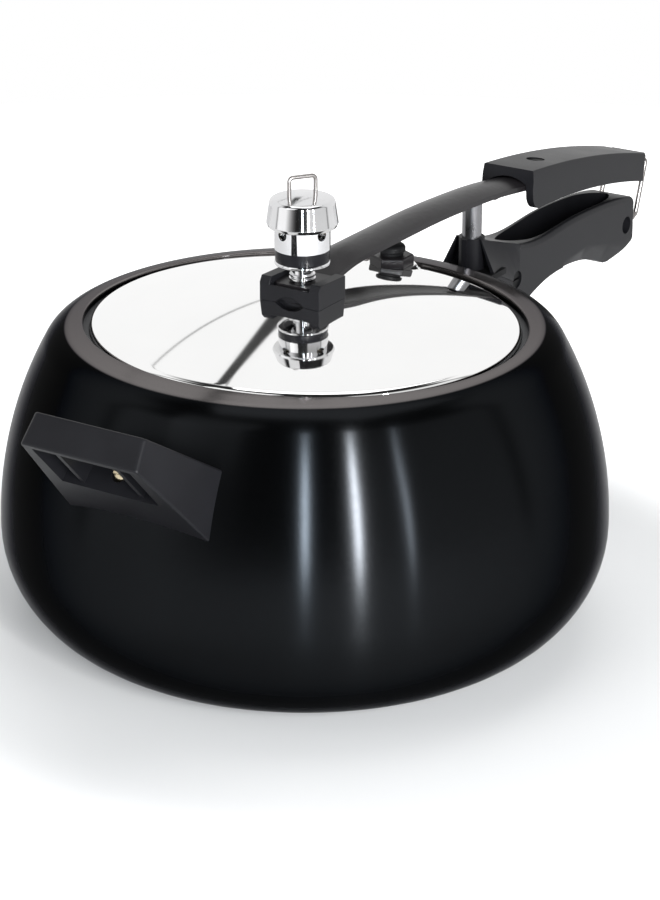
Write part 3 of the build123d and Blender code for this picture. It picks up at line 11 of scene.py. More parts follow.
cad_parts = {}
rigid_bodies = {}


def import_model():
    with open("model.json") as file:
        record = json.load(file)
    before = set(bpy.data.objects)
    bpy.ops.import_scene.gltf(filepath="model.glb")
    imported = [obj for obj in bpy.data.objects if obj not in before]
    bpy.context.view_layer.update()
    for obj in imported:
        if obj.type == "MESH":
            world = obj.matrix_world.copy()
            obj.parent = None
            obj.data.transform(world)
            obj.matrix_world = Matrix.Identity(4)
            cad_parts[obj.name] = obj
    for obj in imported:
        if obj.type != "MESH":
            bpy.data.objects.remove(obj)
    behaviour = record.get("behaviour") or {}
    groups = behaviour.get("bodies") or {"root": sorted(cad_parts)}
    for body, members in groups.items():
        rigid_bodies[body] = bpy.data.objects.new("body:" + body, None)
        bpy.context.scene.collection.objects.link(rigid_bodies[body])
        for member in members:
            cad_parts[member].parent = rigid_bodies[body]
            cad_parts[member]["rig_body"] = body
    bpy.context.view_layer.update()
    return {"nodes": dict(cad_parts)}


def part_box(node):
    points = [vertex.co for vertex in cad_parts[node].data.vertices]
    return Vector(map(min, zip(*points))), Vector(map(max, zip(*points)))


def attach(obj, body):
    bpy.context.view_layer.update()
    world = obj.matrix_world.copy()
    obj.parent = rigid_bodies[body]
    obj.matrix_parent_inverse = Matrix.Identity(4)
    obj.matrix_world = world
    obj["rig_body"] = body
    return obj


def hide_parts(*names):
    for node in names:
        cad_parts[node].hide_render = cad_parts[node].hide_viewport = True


bl_info = {
    "name": "Pressure cooker",
    "version": (1, 0, 0),
    "blender": (4, 5, 0),
    "location": "View3D > Sidebar > Cooker",
    "description": "Surfaces, wires and studio of a stovetop pressure cooker",
    "category": "Object",
}

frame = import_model()
MM = 0.001


# Sizes of the drawing in millimetres; the rest is read from the frame.
# Pot: rounded base, barrelled flank, shoulder, and the turned-in rim round the oval mouth.
BASE_CORNER = 46.0
FLANK_ARC = 150.0
SHOULDER_HEIGHT = 119.0
RIM_RADIUS = 93.0
RIM_EDGE = 2.2
RIM_SLOPE = 0.16
RIM_EASE = 0.7
RIM_UNDER_EASE = 0.5
RIM_SHARES = (0.35, 0.7)
POT_WALL = 3.25
POT_FLOOR = 4.5
MOUTH_X = 82.5
MOUTH_Y = 87.5

# Lid: domed oval sheet inside the mouth, its beaded step and the valve's pad.
LID_SHEET = 1.2
LID_GAP = 2.4
LID_BEAD = 2.0
LID_DROP = 9.2
VALVE_PAD = 129.4
PAD_RADIUS = 9.4
PAD_BLEND = 2.2
PAD_REACH = 12.2
PAD_CUT = 12.5
GASKET_GAP = 0.4
GASKET_LIP = 0.5

# Regulator: spigot, hollow cap and its wire loop.
REGULATOR_SPIGOT = 8.2
CAP_SHOULDER = 1.1
CAP_TURN = (1.6, 0.7)
CAP_SIDE_TOP = 2.6
CAP_ROOF = 3.2
CAP_BORE = 9.2
CAP_COUNTERBORE = 3.0
CAP_POCKET = 7.0
LOOP_TURN = -35.0
LOOP_HALF = 5.4
LOOP_WIRE = 0.8

# Lock loop at the end of the handles, and the bends of both wires.
LOCK_WIRE = 1.1
LOCK_KNEE = (4.6, 1.8)
WIRE_BEND = 1.6

# Angles in degrees: edges sharper than the first are rounded or kept crisp, and edges flatter
# than the second are dissolved.
SHARP_ANGLE = 32.0
FLAT_ANGLE = 0.4

# Facets along the arcs of the pot, the lid, the cap and the wires, and round the small parts.
CORNER_STEPS = 18
FLANK_STEPS = 36
SHOULDER_STEPS = 14
DOME_STEPS = 60
ROOF_STEPS = 20
BEAD_STEPS = 8
UNDER_BEAD_STEPS = 6
BEND_STEPS = 8
WIRE_SIDES = 20
SMALL_SEGMENTS = 96

# Camera in metres, and the level directions of its view, by which the studio is laid out.
CAMERA_PLACE = Vector((-0.8951, -0.5775, 0.5034))
CAMERA_TARGET = Vector((0, 0, 0.07))
CAMERA_SHIFT = (0.0278, 0.0056)
SENSOR_WIDTH = 36
AHEAD = Vector((0.84, 0.542, 0))
RIGHT = Vector((0.542, -0.84, 0))

# What metal shows of the studio: its darkest parts, and the panels behind the camera. Directions
# nearly square to the view count as having the least depth.
STUDIO_DARK = 0.02
RIGHT_PANEL = 0.85
LEFT_PANEL = 1.25
LEAST_DEPTH = 0.05

# Stage in metres: the floor's glow grows between two distances from the middle of the shadow,
# and metal shows only a share of it.
FLOOR_DROP = 0.0002
SHADOW_MIDDLE = (0.008, -0.013)
GLOW_START = 0.155
GLOW_END = 0.25
GLOW_IN_METAL = 0.3

# Large soft lamps: width and height of each, and what they face.
KEY_SIZE = 0.9
TOP_SIZE = 1.2
LAMP_AIM = Vector((0, 0, 0.08))

# Narrow upright lamps that draw the streaks on the pot, in metres, degrees to the right and watts.
STRIP_DISTANCE = 1.5
STRIP_HEIGHT = 0.46
STRIP_TALL = 0.9
STRIP_AIM = Vector((0, 0, 0.34))
STRIPS = (
    {"name": "strip_left", "turn": 0.0, "width": 0.06, "power": 13.0, "colour": (0.85, 0.93, 1.0)},
    {"name": "strip_middle", "turn": 18.6, "width": 0.06, "power": 30.0, "colour": (1.0, 1.0, 1.0)},
    {"name": "strip_right", "turn": 37.3, "width": 0.05, "power": 4.0, "colour": (0.9, 0.95, 1.0)},
)


def place(node):
    """Lowest corner, highest corner and centre of a CAD node, in metres."""
    low, high = (Vector(corner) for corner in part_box(node))
    return low, high, (low + high) / 2


def turned_size(node):
    """Bottom, top and radius of a turned CAD node, and the centre it turns about, in millimetres."""
    low, high, middle = place(node)
    centre = (round(middle.x / MM, 2), round(middle.y / MM, 2))
    return low.z / MM, high.z / MM, (high.x - low.x) / 2 / MM, centre


def shade(colour, share):
    """A colour made darker or lighter."""
    return tuple(share * c for c in colour)


# ---------------------------------------------------------------- shader expressions
class Value:
    """A node's output that can be used in ordinary Python arithmetic."""

    def __init__(self, finish, socket):
        self.finish = finish
        self.socket = socket

    def _math(self, operation, first, second):
        return self.finish.node("ShaderNodeMath", {"operation": operation}, {0: first, 1: second})

    def __add__(self, other):
        return self._math("ADD", self, other)

    __radd__ = __add__

    def __sub__(self, other):
        return self._math("SUBTRACT", self, other)

    def __rsub__(self, other):
        return self._math("SUBTRACT", other, self)

    def __mul__(self, other):
        return self._math("MULTIPLY", self, other)

    __rmul__ = __mul__

    def __truediv__(self, other):
        return self._math("DIVIDE", self, other)

    def __rtruediv__(self, other):
        return self._math("DIVIDE", other, self)

    def __pow__(self, other):
        return self._math("POWER", self, other)

    def __abs__(self):
        return self._math("ABSOLUTE", self, 0.0)

    def clamp(self):
        """Held between 0 and 1."""
        return self.finish.node("ShaderNodeClamp", {}, {"Value": self})

    def spread(self, amount):
        """A pattern between 0 and 1 as a departure either way from 0, this much from end to end."""
        return (self - 0.5) * amount


class Finish:
    """One material, built from expressions on the object's own coordinates."""

    def __init__(self, name):
        self.material = bpy.data.materials.new(name)
        self.material.use_nodes = True
        self.tree = self.material.node_tree
        self.tree.nodes.clear()
        self.output = self.tree.nodes.new("ShaderNodeOutputMaterial")
        self.shader = self.tree.nodes.new("ShaderNodeBsdfPrincipled")
        self.tree.links.new(self.shader.outputs[0], self.output.inputs[0])
        self._place = None

    @classmethod
    def sky(cls, world):
        """The same expressions on a world's nodes, with place() as the direction looked in."""
        made = cls.__new__(cls)
        world.use_nodes = True
        made.tree = world.node_tree
        made.tree.nodes.clear()
        made._place = made.node("ShaderNodeTexCoord", {}, {}, "Generated")
        return made

    def node(self, kind, settings, inputs, out=0):
        """One output of a new node, with its settings made first, then its sockets set or linked."""
        made = self.tree.nodes.new(kind)
        for key, value in settings.items():
            setattr(made, key, value)
        for key, value in inputs.items():
            if isinstance(value, Value):
                self.tree.links.new(value.socket, made.inputs[key])
            else:
                made.inputs[key].default_value = value
        return Value(self, made.outputs[out])

    def place(self):
        """Object coordinates in metres."""
        if self._place is None:
            self._place = self.node("ShaderNodeTexCoord", {}, {}, "Object")
        return self._place

    def rays(self):
        """1 for rays from the camera, rays reflected by a surface, and rays through clear things."""
        path = self.tree.nodes.new("ShaderNodeLightPath")
        kinds = ("Camera", "Glossy", "Transmission")
        return [Value(self, path.outputs[f"Is {kind} Ray"]) for kind in kinds]

    def axes(self):
        """X, Y and Z of the coordinates as three values."""
        split = self.node("ShaderNodeSeparateXYZ", {}, {0: self.place()})
        sockets = split.socket.node.outputs
        return [Value(self, sockets[i]) for i in range(3)]

    def stretch(self, x, y, z):
        """Object coordinates scaled along each axis."""
        inputs = {0: self.place(), 1: (x, y, z)}
        return self.node("ShaderNodeVectorMath", {"operation": "MULTIPLY"}, inputs)

    def noise(self, scale, detail, vector=None):
        """Cloudy pattern round 0.5, finer with scale and more broken up with detail."""
        inputs = {"Vector": vector or self.place(), "Scale": scale, "Detail": detail}
        return self.node("ShaderNodeTexNoise", {}, inputs)

    def blend(self, factor, first, second):
        """Colour between first and second."""
        mix = self.tree.nodes.new("ShaderNodeMix")
        mix.data_type = "RGBA"
        for index, value in ((0, factor), (6, first), (7, second)):
            if isinstance(value, Value):
                self.tree.links.new(value.socket, mix.inputs[index])
            elif index == 0:
                mix.inputs[index].default_value = value
            else:
                mix.inputs[index].default_value = (*value, 1)
        return Value(self, mix.outputs[2])

    def ramp(self, factor, low, high):
        """0 below low, 1 above high, eased between."""
        return self.node(
            "ShaderNodeMapRange",
            {"interpolation_type": "SMOOTHSTEP"},
            {"Value": factor, "From Min": low, "From Max": high},
        )

    def bump(self, height, distance, strength, below=None):
        """Normal of a surface raised by a pattern over distance, on top of the bump below."""
        inputs = {"Height": height, "Distance": distance, "Strength": strength}
        if below is not None:
            inputs["Normal"] = below
        return self.node("ShaderNodeBump", {}, inputs)

    def set(self, **sockets):
        """Sets or links the shader's sockets, and gives the material."""
        for key, value in sockets.items():
            socket = self.shader.inputs[key.replace("_", " ").title().replace("Ior", "IOR")]
            if isinstance(value, Value):
                self.tree.links.new(value.socket, socket)
            elif socket.type == "RGBA":
                socket.default_value = (*value, 1)
            else:
                socket.default_value = value
        return self.material


# ---------------------------------------------------------------- mesh helpers
def finish_piece(mesh, name, node, material, angle):
    """Turns a mesh into a piece that stands for a CAD node, smooth up to an angle in degrees."""
    piece = bpy.data.objects.new(name, mesh)
    bpy.context.scene.collection.objects.link(piece)
    mesh.materials.clear()
    mesh.materials.append(material)
    if angle is not None:
        mesh.polygons.foreach_set("use_smooth", [True] * len(mesh.polygons))
        mesh.set_sharp_from_angle(angle=math.radians(angle))
    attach(piece, frame["nodes"][node]["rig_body"])
    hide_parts(node)
    return piece


def arc(start, heading, end, steps):
    """Points of the arc that leaves start along heading and reaches end; also its heading there."""
    start, heading, end = Vector(start), Vector(heading).normalized(), Vector(end)
    chord = end - start
    turn = 2 * math.atan2(heading.x * chord.y - heading.y * chord.x, heading.dot(chord))
    if abs(turn) < 1e-6:
        return [start + chord * i / steps for i in range(1, steps + 1)], heading
    radius = chord.length / (2 * math.sin(turn / 2))
    centre = start + Vector((-heading.y, heading.x)) * radius
    points = []
    for i in range(1, steps + 1):
        points.append(centre + Matrix.Rotation(turn * i / steps, 2) @ (start - centre))
    return points, Matrix.Rotation(turn, 2) @ heading


def eased(corners, steps):
    """Outline of (radius, height, easing) with each corner between its ends rounded by its easing."""
    points = []
    count = len(corners)
    for i, (x, y, ease) in enumerate(corners):
        here = Vector((x, y))
        if ease <= 0 or i in (0, count - 1):
            points.append(here)
            continue
        before = (Vector(corners[i - 1][:2]) - here).normalized()
        after = (Vector(corners[i + 1][:2]) - here).normalized()
        angle = before.angle(after)
        setback = ease / math.tan(angle / 2)
        first = here + before * setback
        curve, _ = arc(first, -before, here + after * setback, steps)
        points.append(first)
        points.extend(curve)
    return points


def join_rings(shape, rings, segments):
    """Faces between each ring of vertices and the next, where a ring may be a single vertex."""
    for lower, upper in zip(rings, rings[1:]):
        for i in range(segments):
            loop = [lower[i % len(lower)], lower[(i + 1) % len(lower)]]
            loop += [upper[(i + 1) % len(upper)], upper[i % len(upper)]]
            shape.faces.new(list(dict.fromkeys(loop)))
    bmesh.ops.recalc_face_normals(shape, faces=shape.faces)


def lathe(outline, segments, oval=(1.0, 1.0), centre=(0.0, 0.0)):
    """Mesh of an outline (millimetres) turned about the vertical through centre.

    The outline either starts and ends on that axis or closes on itself.
    """
    mesh = bpy.data.meshes.new("turned")
    shape = bmesh.new()
    rings = []
    for radius, height in outline:
        if abs(radius) < 1e-6:
            rings.append([shape.verts.new((centre[0] * MM, centre[1] * MM, height * MM))])
            continue
        ring = []
        for i in range(segments):
            turn = 2 * math.pi * i / segments
            x = centre[0] + radius * oval[0] * math.cos(turn)
            y = centre[1] + radius * oval[1] * math.sin(turn)
            ring.append(shape.verts.new((x * MM, y * MM, height * MM)))
        rings.append(ring)
    if len(rings[-1]) > 1:
        rings.append(rings[0])
    join_rings(shape, rings, segments)
    shape.to_mesh(mesh)
    shape.free()
    return mesh


def softened(node, material, width):
    """Copy of a CAD node with its sharp edges rounded a little, standing for that node."""
    mesh = frame["nodes"][node].data.copy()
    shape = bmesh.new()
    shape.from_mesh(mesh)
    bmesh.ops.remove_doubles(shape, verts=shape.verts, dist=1e-6)
    bmesh.ops.dissolve_limit(
        shape,
        angle_limit=math.radians(FLAT_ANGLE),
        verts=shape.verts,
        edges=shape.edges,
        delimit={"NORMAL"},
    )
    shape.to_mesh(mesh)
    shape.free()
    mesh.polygons.foreach_set("use_smooth", [True] * len(mesh.polygons))
    piece = bpy.data.objects.new(node + "_skin", mesh)
    bpy.context.scene.collection.objects.link(piece)
    bevel = piece.modifiers.new("edges", "BEVEL")
    bevel.width = width * MM
    bevel.segments = 3
    bevel.limit_method = "ANGLE"
    bevel.angle_limit = math.radians(SHARP_ANGLE)
    evened = piece.modifiers.new("shading", "WEIGHTED_NORMAL")
    evened.weight = 100
    bpy.context.view_layer.update()
    done = bpy.data.meshes.new_from_object(piece.evaluated_get(bpy.context.evaluated_depsgraph_get()))
    bpy.data.objects.remove(piece)
    return finish_piece(done, node + "_skin", node, material, angle=None)


def wire_tree(name, material):
    """Geometry Nodes tree that turns straight lengths into round wire with bent corners.

    Also gives the identifiers of its two sizes.
    """
    tree = bpy.data.node_groups.new(name, "GeometryNodeTree")
    tree.interface.new_socket("Geometry", in_out="INPUT", socket_type="NodeSocketGeometry")
    sizes = {}
    for label in ("Wire radius", "Bend radius"):
        socket = tree.interface.new_socket(label, in_out="INPUT", socket_type="NodeSocketFloat")
        sizes[label] = socket.identifier
    tree.interface.new_socket("Geometry", in_out="OUTPUT", socket_type="NodeSocketGeometry")
    nodes, link = tree.nodes, tree.links.new
    source, sink = nodes.new("NodeGroupInput"), nodes.new("NodeGroupOutput")
    bent = nodes.new("GeometryNodeFilletCurve")
    bent.mode = "POLY"
    bent.inputs["Count"].default_value = BEND_STEPS
    ring = nodes.new("GeometryNodeCurvePrimitiveCircle")
    ring.inputs["Resolution"].default_value = WIRE_SIDES
    swept = nodes.new("GeometryNodeCurveToMesh")
    swept.inputs["Fill Caps"].default_value = True
    real = nodes.new("GeometryNodeRealizeInstances")
    paint = nodes.new("GeometryNodeSetMaterial")
    paint.inputs["Material"].default_value = material
    link(source.outputs["Geometry"], bent.inputs["Curve"])
    link(source.outputs["Bend radius"], bent.inputs["Radius"])
    link(source.outputs["Wire radius"], ring.inputs["Radius"])
    link(bent.outputs[0], swept.inputs["Curve"])
    link(ring.outputs[0], swept.inputs["Profile Curve"])
    link(swept.outputs[0], real.inputs[0])
    link(real.outputs[0], paint.inputs["Geometry"])
    link(paint.outputs[0], sink.inputs[0])
    return tree, sizes


def bent_wire(node, points, radius, closed=False):
    """Round steel wire bent through points (millimetres), standing for a CAD node."""
    name = node + "_skin"
    material = FINISHES["wire"]
    curve = bpy.data.curves.new(name + "_path", "CURVE")
    curve.dimensions = "3D"
    spline = curve.splines.new("POLY")
    spline.points.add(len(points) - 1)
    for point, target in zip(points, spline.points):
        target.co = (*(c * MM for c in point), 1)
    spline.use_cyclic_u = closed
    path = bpy.data.objects.new(name + "_path", curve)
    bpy.context.scene.collection.objects.link(path)
    modifier = path.modifiers.new("wire", "NODES")
    modifier.node_group, sizes = wire_tree(name + "_wire", material)
    modifier[sizes["Wire radius"]] = radius * MM
    modifier[sizes["Bend radius"]] = WIRE_BEND * MM
    bpy.context.view_layer.update()
    mesh = bpy.data.meshes.new_from_object(path.evaluated_get(bpy.context.evaluated_depsgraph_get()))
    bpy.data.objects.remove(path)
    return finish_piece(mesh, name, node, material, angle=60.0)


# ---------------------------------------------------------------- settings
class PotSettings(bpy.types.PropertyGroup):
    colour: FloatVectorProperty(
        name="Colour",
        description="Hard-anodised surface",
        subtype="COLOR",
        default=(0.0098, 0.0106, 0.0116),
    )
    # Paler, warmer colour of the turned-in rim: a painted sheen.
    rim_sheen_colour: FloatVectorProperty(
        name="Rim colour", description="Rubbed turned-in rim", subtype="COLOR", default=(0.2, 0.187, 0.184)
    )
    roughness: FloatProperty(
        name="Roughness", description="Mean roughness of the flank", default=0.2, min=0, max=1
    )
    gloss: FloatProperty(
        name="Gloss", description="Strength of the clear reflection", default=0.15, min=0, max=1
    )
    edge_tint: FloatVectorProperty(
        name="Edge tint",
        description="Reflection at grazing angles",
        subtype="COLOR",
        default=(0.35, 0.35, 0.36),
    )
    rim_height: FloatProperty(
        name="Rim height", description="Outer edge of the rim", default=0.1255, unit="LENGTH"
    )
    segments: IntProperty(name="Segments", description="Facets round the pot", default=192, min=24)


class LidSettings(bpy.types.PropertyGroup):
    colour: FloatVectorProperty(
        name="Colour", description="Polished stainless steel", subtype="COLOR", default=(0.95, 0.95, 0.945)
    )
    roughness: FloatProperty(name="Roughness", description="Polish", default=0.04, min=0, max=1)
    segments: IntProperty(name="Segments", description="Facets round the lid", default=256, min=24)


class MouldingSettings(bpy.types.PropertyGroup):
    colour: FloatVectorProperty(
        name="Colour",
        description="Black phenolic moulding",
        subtype="COLOR",
        default=(0.009, 0.009, 0.0105),
    )
    grain: FloatProperty(
        name="Grain", description="Size of the moulding's grain", default=0.0006, unit="LENGTH"
    )


class MetalSettings(bpy.types.PropertyGroup):
    bar: FloatVectorProperty(
        name="Bar",
        description="Enamel on the bar and the safety valve",
        subtype="COLOR",
        default=(0.011, 0.0098, 0.0108),
    )
    chrome: FloatVectorProperty(
        name="Chrome", description="Regulator and steam vent", subtype="COLOR", default=(0.8, 0.8, 0.81)
    )
    plating: FloatVectorProperty(
        name="Plating", description="Plated small parts", subtype="COLOR", default=(0.72, 0.72, 0.73)
    )
    post: FloatVectorProperty(
        name="Post", description="Drawn steel of the post", subtype="COLOR", default=(0.27, 0.27, 0.28)
    )
    wire: FloatVectorProperty(
        name="Wire", description="Steel wire of both loops", subtype="COLOR", default=(0.36, 0.34, 0.33)
    )
    brass: FloatVectorProperty(
        name="Brass", description="Turned brass fittings", subtype="COLOR", default=(0.68, 0.58, 0.4)
    )


class StudioSettings(bpy.types.PropertyGroup):
    floor: FloatVectorProperty(
        name="Floor", description="Colour of floor and backdrop", subtype="COLOR", default=(0.9, 0.9, 0.9)
    )
    floor_radius: FloatProperty(
        name="Floor radius", description="Reach of the floor", default=0.8, unit="LENGTH"
    )
    glow: FloatProperty(
        name="Glow", description="Light of the floor's own under the cooker", default=0.1, min=0
    )
    ambient: FloatProperty(name="Ambient", description="Even light from all round", default=0.18, min=0)
    key: FloatProperty(name="Key", description="Watts of the large lamp at the left", default=2.5, min=0)
    top: FloatProperty(name="Top", description="Watts of the overhead lamp", default=8.0, min=0)
    lens: FloatProperty(name="Lens", description="Focal length in millimetres", default=116.84, min=10)


# ---------------------------------------------------------------- finishes
def anodised(settings):
    """Hard-anodised aluminium: near black, with fine level lines that draw its highlights out.

    The turned-in rim is paler and warmer, a painted sheen.
    """
    f = Finish("anodised")
    x, y, z = f.axes()
    radius = (x * x + y * y) ** 0.5
    top, edge = settings.rim_height, RIM_RADIUS * MM
    rim = f.ramp(z, top - 0.0006, top + 0.0004) * (1 - f.ramp(radius, edge - 0.0008, edge + 0.0004))
    cloud = f.noise(scale=9.0, detail=3.0)
    speck = f.noise(scale=700.0, detail=1.0)
    lines = f.noise(scale=1.0, detail=2.0, vector=f.stretch(2.0, 2.0, 1500.0))
    flank = f.blend(cloud, shade(settings.colour, 0.75), shade(settings.colour, 1.35))
    # Painted sheen: the turned-in rim is blended to a paler, warmer colour.
    tone = f.blend(rim, flank, settings.rim_sheen_colour)
    rough = settings.roughness + cloud.spread(0.05) + speck.spread(0.04) - rim * 0.05
    normal = f.bump(lines * 0.7 + speck * 0.3, distance=0.00001, strength=0.5)
    return f.set(
        base_color=tone,
        metallic=0.94,
        roughness=rough,
        normal=normal,
        specular_ior_level=settings.gloss,
        specular_tint=settings.edge_tint,
        anisotropic=0.95,
        anisotropic_rotation=0.25,
    )


def polished(settings):
    """Mirror-polished stainless steel with faint circular polishing marks."""
    f = Finish("polished_steel")
    x, y, _ = f.axes()
    radius = (x * x + y * y) ** 0.5
    outward = f.node("ShaderNodeCombineXYZ", {}, {0: radius})
    rings = f.noise(scale=1500.0, detail=2.0, vector=outward)
    wave = f.noise(scale=14.0, detail=1.0)
    smear = f.noise(scale=40.0, detail=3.0)
    rough = settings.roughness + smear.spread(0.03) + rings.spread(0.03)
    marks = f.bump(rings, distance=0.000004, strength=0.5)
    normal = f.bump(wave, distance=0.0003, strength=0.12, below=marks)
    tone = f.blend(smear, shade(settings.colour, 0.96), settings.colour)
    return f.set(base_color=tone, metallic=1.0, roughness=rough, normal=normal)


def plated(name, colour, roughness):
    """Turned or drawn metal, bare or plated, with fine scratches."""
    f = Finish(name)
    scratch = f.noise(scale=700.0, detail=2.0, vector=f.stretch(1.0, 1.0, 3.0))
    dull = f.noise(scale=120.0, detail=3.0)
    tone = f.blend(dull, shade(colour, 0.82), colour)
    rough = roughness + dull.spread(0.12) + scratch.spread(0.06)
    normal = f.bump(scratch, distance=0.00001, strength=0.5)
    return f.set(base_color=tone, metallic=1.0, roughness=rough, normal=normal)


def moulding(settings, name, roughness):
    """Black phenolic moulding with a soft sheen and fine grain."""
    f = Finish(name)
    fine = f.noise(scale=1.0 / settings.grain, detail=2.0)
    cloud = f.noise(scale=60.0, detail=3.0)
    tone = f.blend(cloud, shade(settings.colour, 0.75), shade(settings.colour, 1.4))
    rough = roughness + cloud.spread(0.12) + fine.spread(0.06)
    normal = f.bump(fine, distance=0.00002, strength=0.5)
    return f.set(base_color=tone, roughness=rough, normal=normal, specular_ior_level=0.14)


def enamel(settings):
    """Black stoved enamel on the bar and the safety valve, slightly uneven."""
    f = Finish("bar_enamel")
    peel = f.noise(scale=260.0, detail=1.0)
    cloud = f.noise(scale=30.0, detail=2.0)
    tone = f.blend(cloud, shade(settings.bar, 0.8), shade(settings.bar, 1.4))
    rough = 0.3 + cloud.spread(0.1)
    normal = f.bump(peel, distance=0.00003, strength=0.4)
    return f.set(base_color=tone, roughness=rough, normal=normal, specular_ior_level=0.2)


def blackened_and_hole_shade():
    """Steel chemically turned black and a little worn in patches; on the screw and bolt sunk in holes, its
    darkness is painted shade.
    """
    f = Finish("blackened_and_hole_shade_steel")
    wear = f.noise(scale=90.0, detail=3.0)
    pit = f.noise(scale=900.0, detail=1.0)
    # Near-black tone. On the screw and bolt deep in their holes, it is painted shade.
    tone = f.blend(f.ramp(wear, 0.45, 0.8), (0.006, 0.006, 0.0065), (0.02, 0.02, 0.021))
    rough = 0.5 + wear.spread(0.15)
    normal = f.bump(pit, distance=0.00001, strength=0.5)
    return f.set(base_color=tone, roughness=rough, normal=normal, specular_ior_level=0.12)


def rubber():
    """Grey-black rubber with a dusty surface."""
    f = Finish("rubber")
    dust = f.noise(scale=300.0, detail=3.0)
    tone = f.blend(dust, (0.03, 0.03, 0.032), (0.075, 0.075, 0.078))
    rough = 0.62 + dust.spread(0.2)
    normal = f.bump(dust, distance=0.00008, strength=0.5)
    return f.set(base_color=tone, roughness=rough, normal=normal)


FINISHES = {}

# Small parts that keep their CAD shape, by their finish.
DRESSED = {
    "plated": (
        "bracket_rivets",
        "helper_handle_stud",
        "lid_handle_nut",
        "regulator_clip",
        "regulator_spring",
    ),
    # The lid handle's screw and the body handle's bolt are this dark as painted shade of their holes.
    "blackened_and_hole_shade": ("body_handle_bolt", "body_handle_nut", "lid_handle_screw"),
    "post": ("fulcrum_post",),
    "brass": ("helper_handle_screw", "vent_nut", "safety_nut", "regulator_needle"),
    "rubber": ("vent_seal", "safety_seal"),
}


def dress(node, finish):
    """Gives a CAD node one of the finishes."""
    target = frame["nodes"][node]
    for slot in target.material_slots:
        slot.material = FINISHES[finish]


# ---------------------------------------------------------------- operators
class COOKER_OT_finishes(bpy.types.Operator):
    """Make every finish of the cooker"""

    bl_idname = "cooker.finishes"
    bl_label = "Finishes"

    def execute(self, context):
        scene = context.scene
        metal = scene.cooker_metal
        FINISHES["anodised"] = anodised(scene.cooker_pot)
        FINISHES["polished"] = polished(scene.cooker_lid)
        FINISHES["chrome"] = plated("chrome", metal.chrome, roughness=0.07)
        FINISHES["plated"] = plated("plated_steel", metal.plating, roughness=0.18)
        FINISHES["post"] = plated("post_steel", metal.post, roughness=0.3)
        FINISHES["wire"] = plated("wire", metal.wire, roughness=0.3)
        FINISHES["brass"] = plated("brass", metal.brass, roughness=0.26)
        FINISHES["band"] = moulding(scene.cooker_moulding, "band", roughness=0.25)
        FINISHES["moulding"] = moulding(scene.cooker_moulding, "moulding", roughness=0.36)
        FINISHES["enamel"] = enamel(metal)
        FINISHES["blackened_and_hole_shade"] = blackened_and_hole_shade()
        FINISHES["rubber"] = rubber()
        return {"FINISHED"}


def pot_face(belly, inset, floor, top):
    """Half-section of the pot from the axis up to the shoulder, inset from its outer face."""
    flank = FLANK_ARC - inset
    corner = BASE_CORNER - inset
    flat = belly - BASE_CORNER + math.sqrt(corner**2 - (BASE_CORNER - floor) ** 2)
    points = [Vector((0, floor)), Vector((flat * 0.5, floor))]
    lean = math.asin((BASE_CORNER - floor) / corner)
    for i in range(CORNER_STEPS + 1):
        turn = -lean + lean * i / CORNER_STEPS
        centre = Vector((belly - BASE_CORNER, BASE_CORNER))
        points.append(centre + corner * Vector((math.cos(turn), math.sin(turn))))
    rise = math.asin((SHOULDER_HEIGHT - BASE_CORNER) / flank)
    for i in range(1, FLANK_STEPS + 1):
        turn = rise * i / FLANK_STEPS
        centre = Vector((belly - FLANK_ARC, BASE_CORNER))
        points.append(centre + flank * Vector((math.cos(turn), math.sin(turn))))
    heading = Vector((-math.sin(rise), math.cos(rise)))
    curve, _ = arc(points[-1], heading, top, SHOULDER_STEPS)
    return points + curve


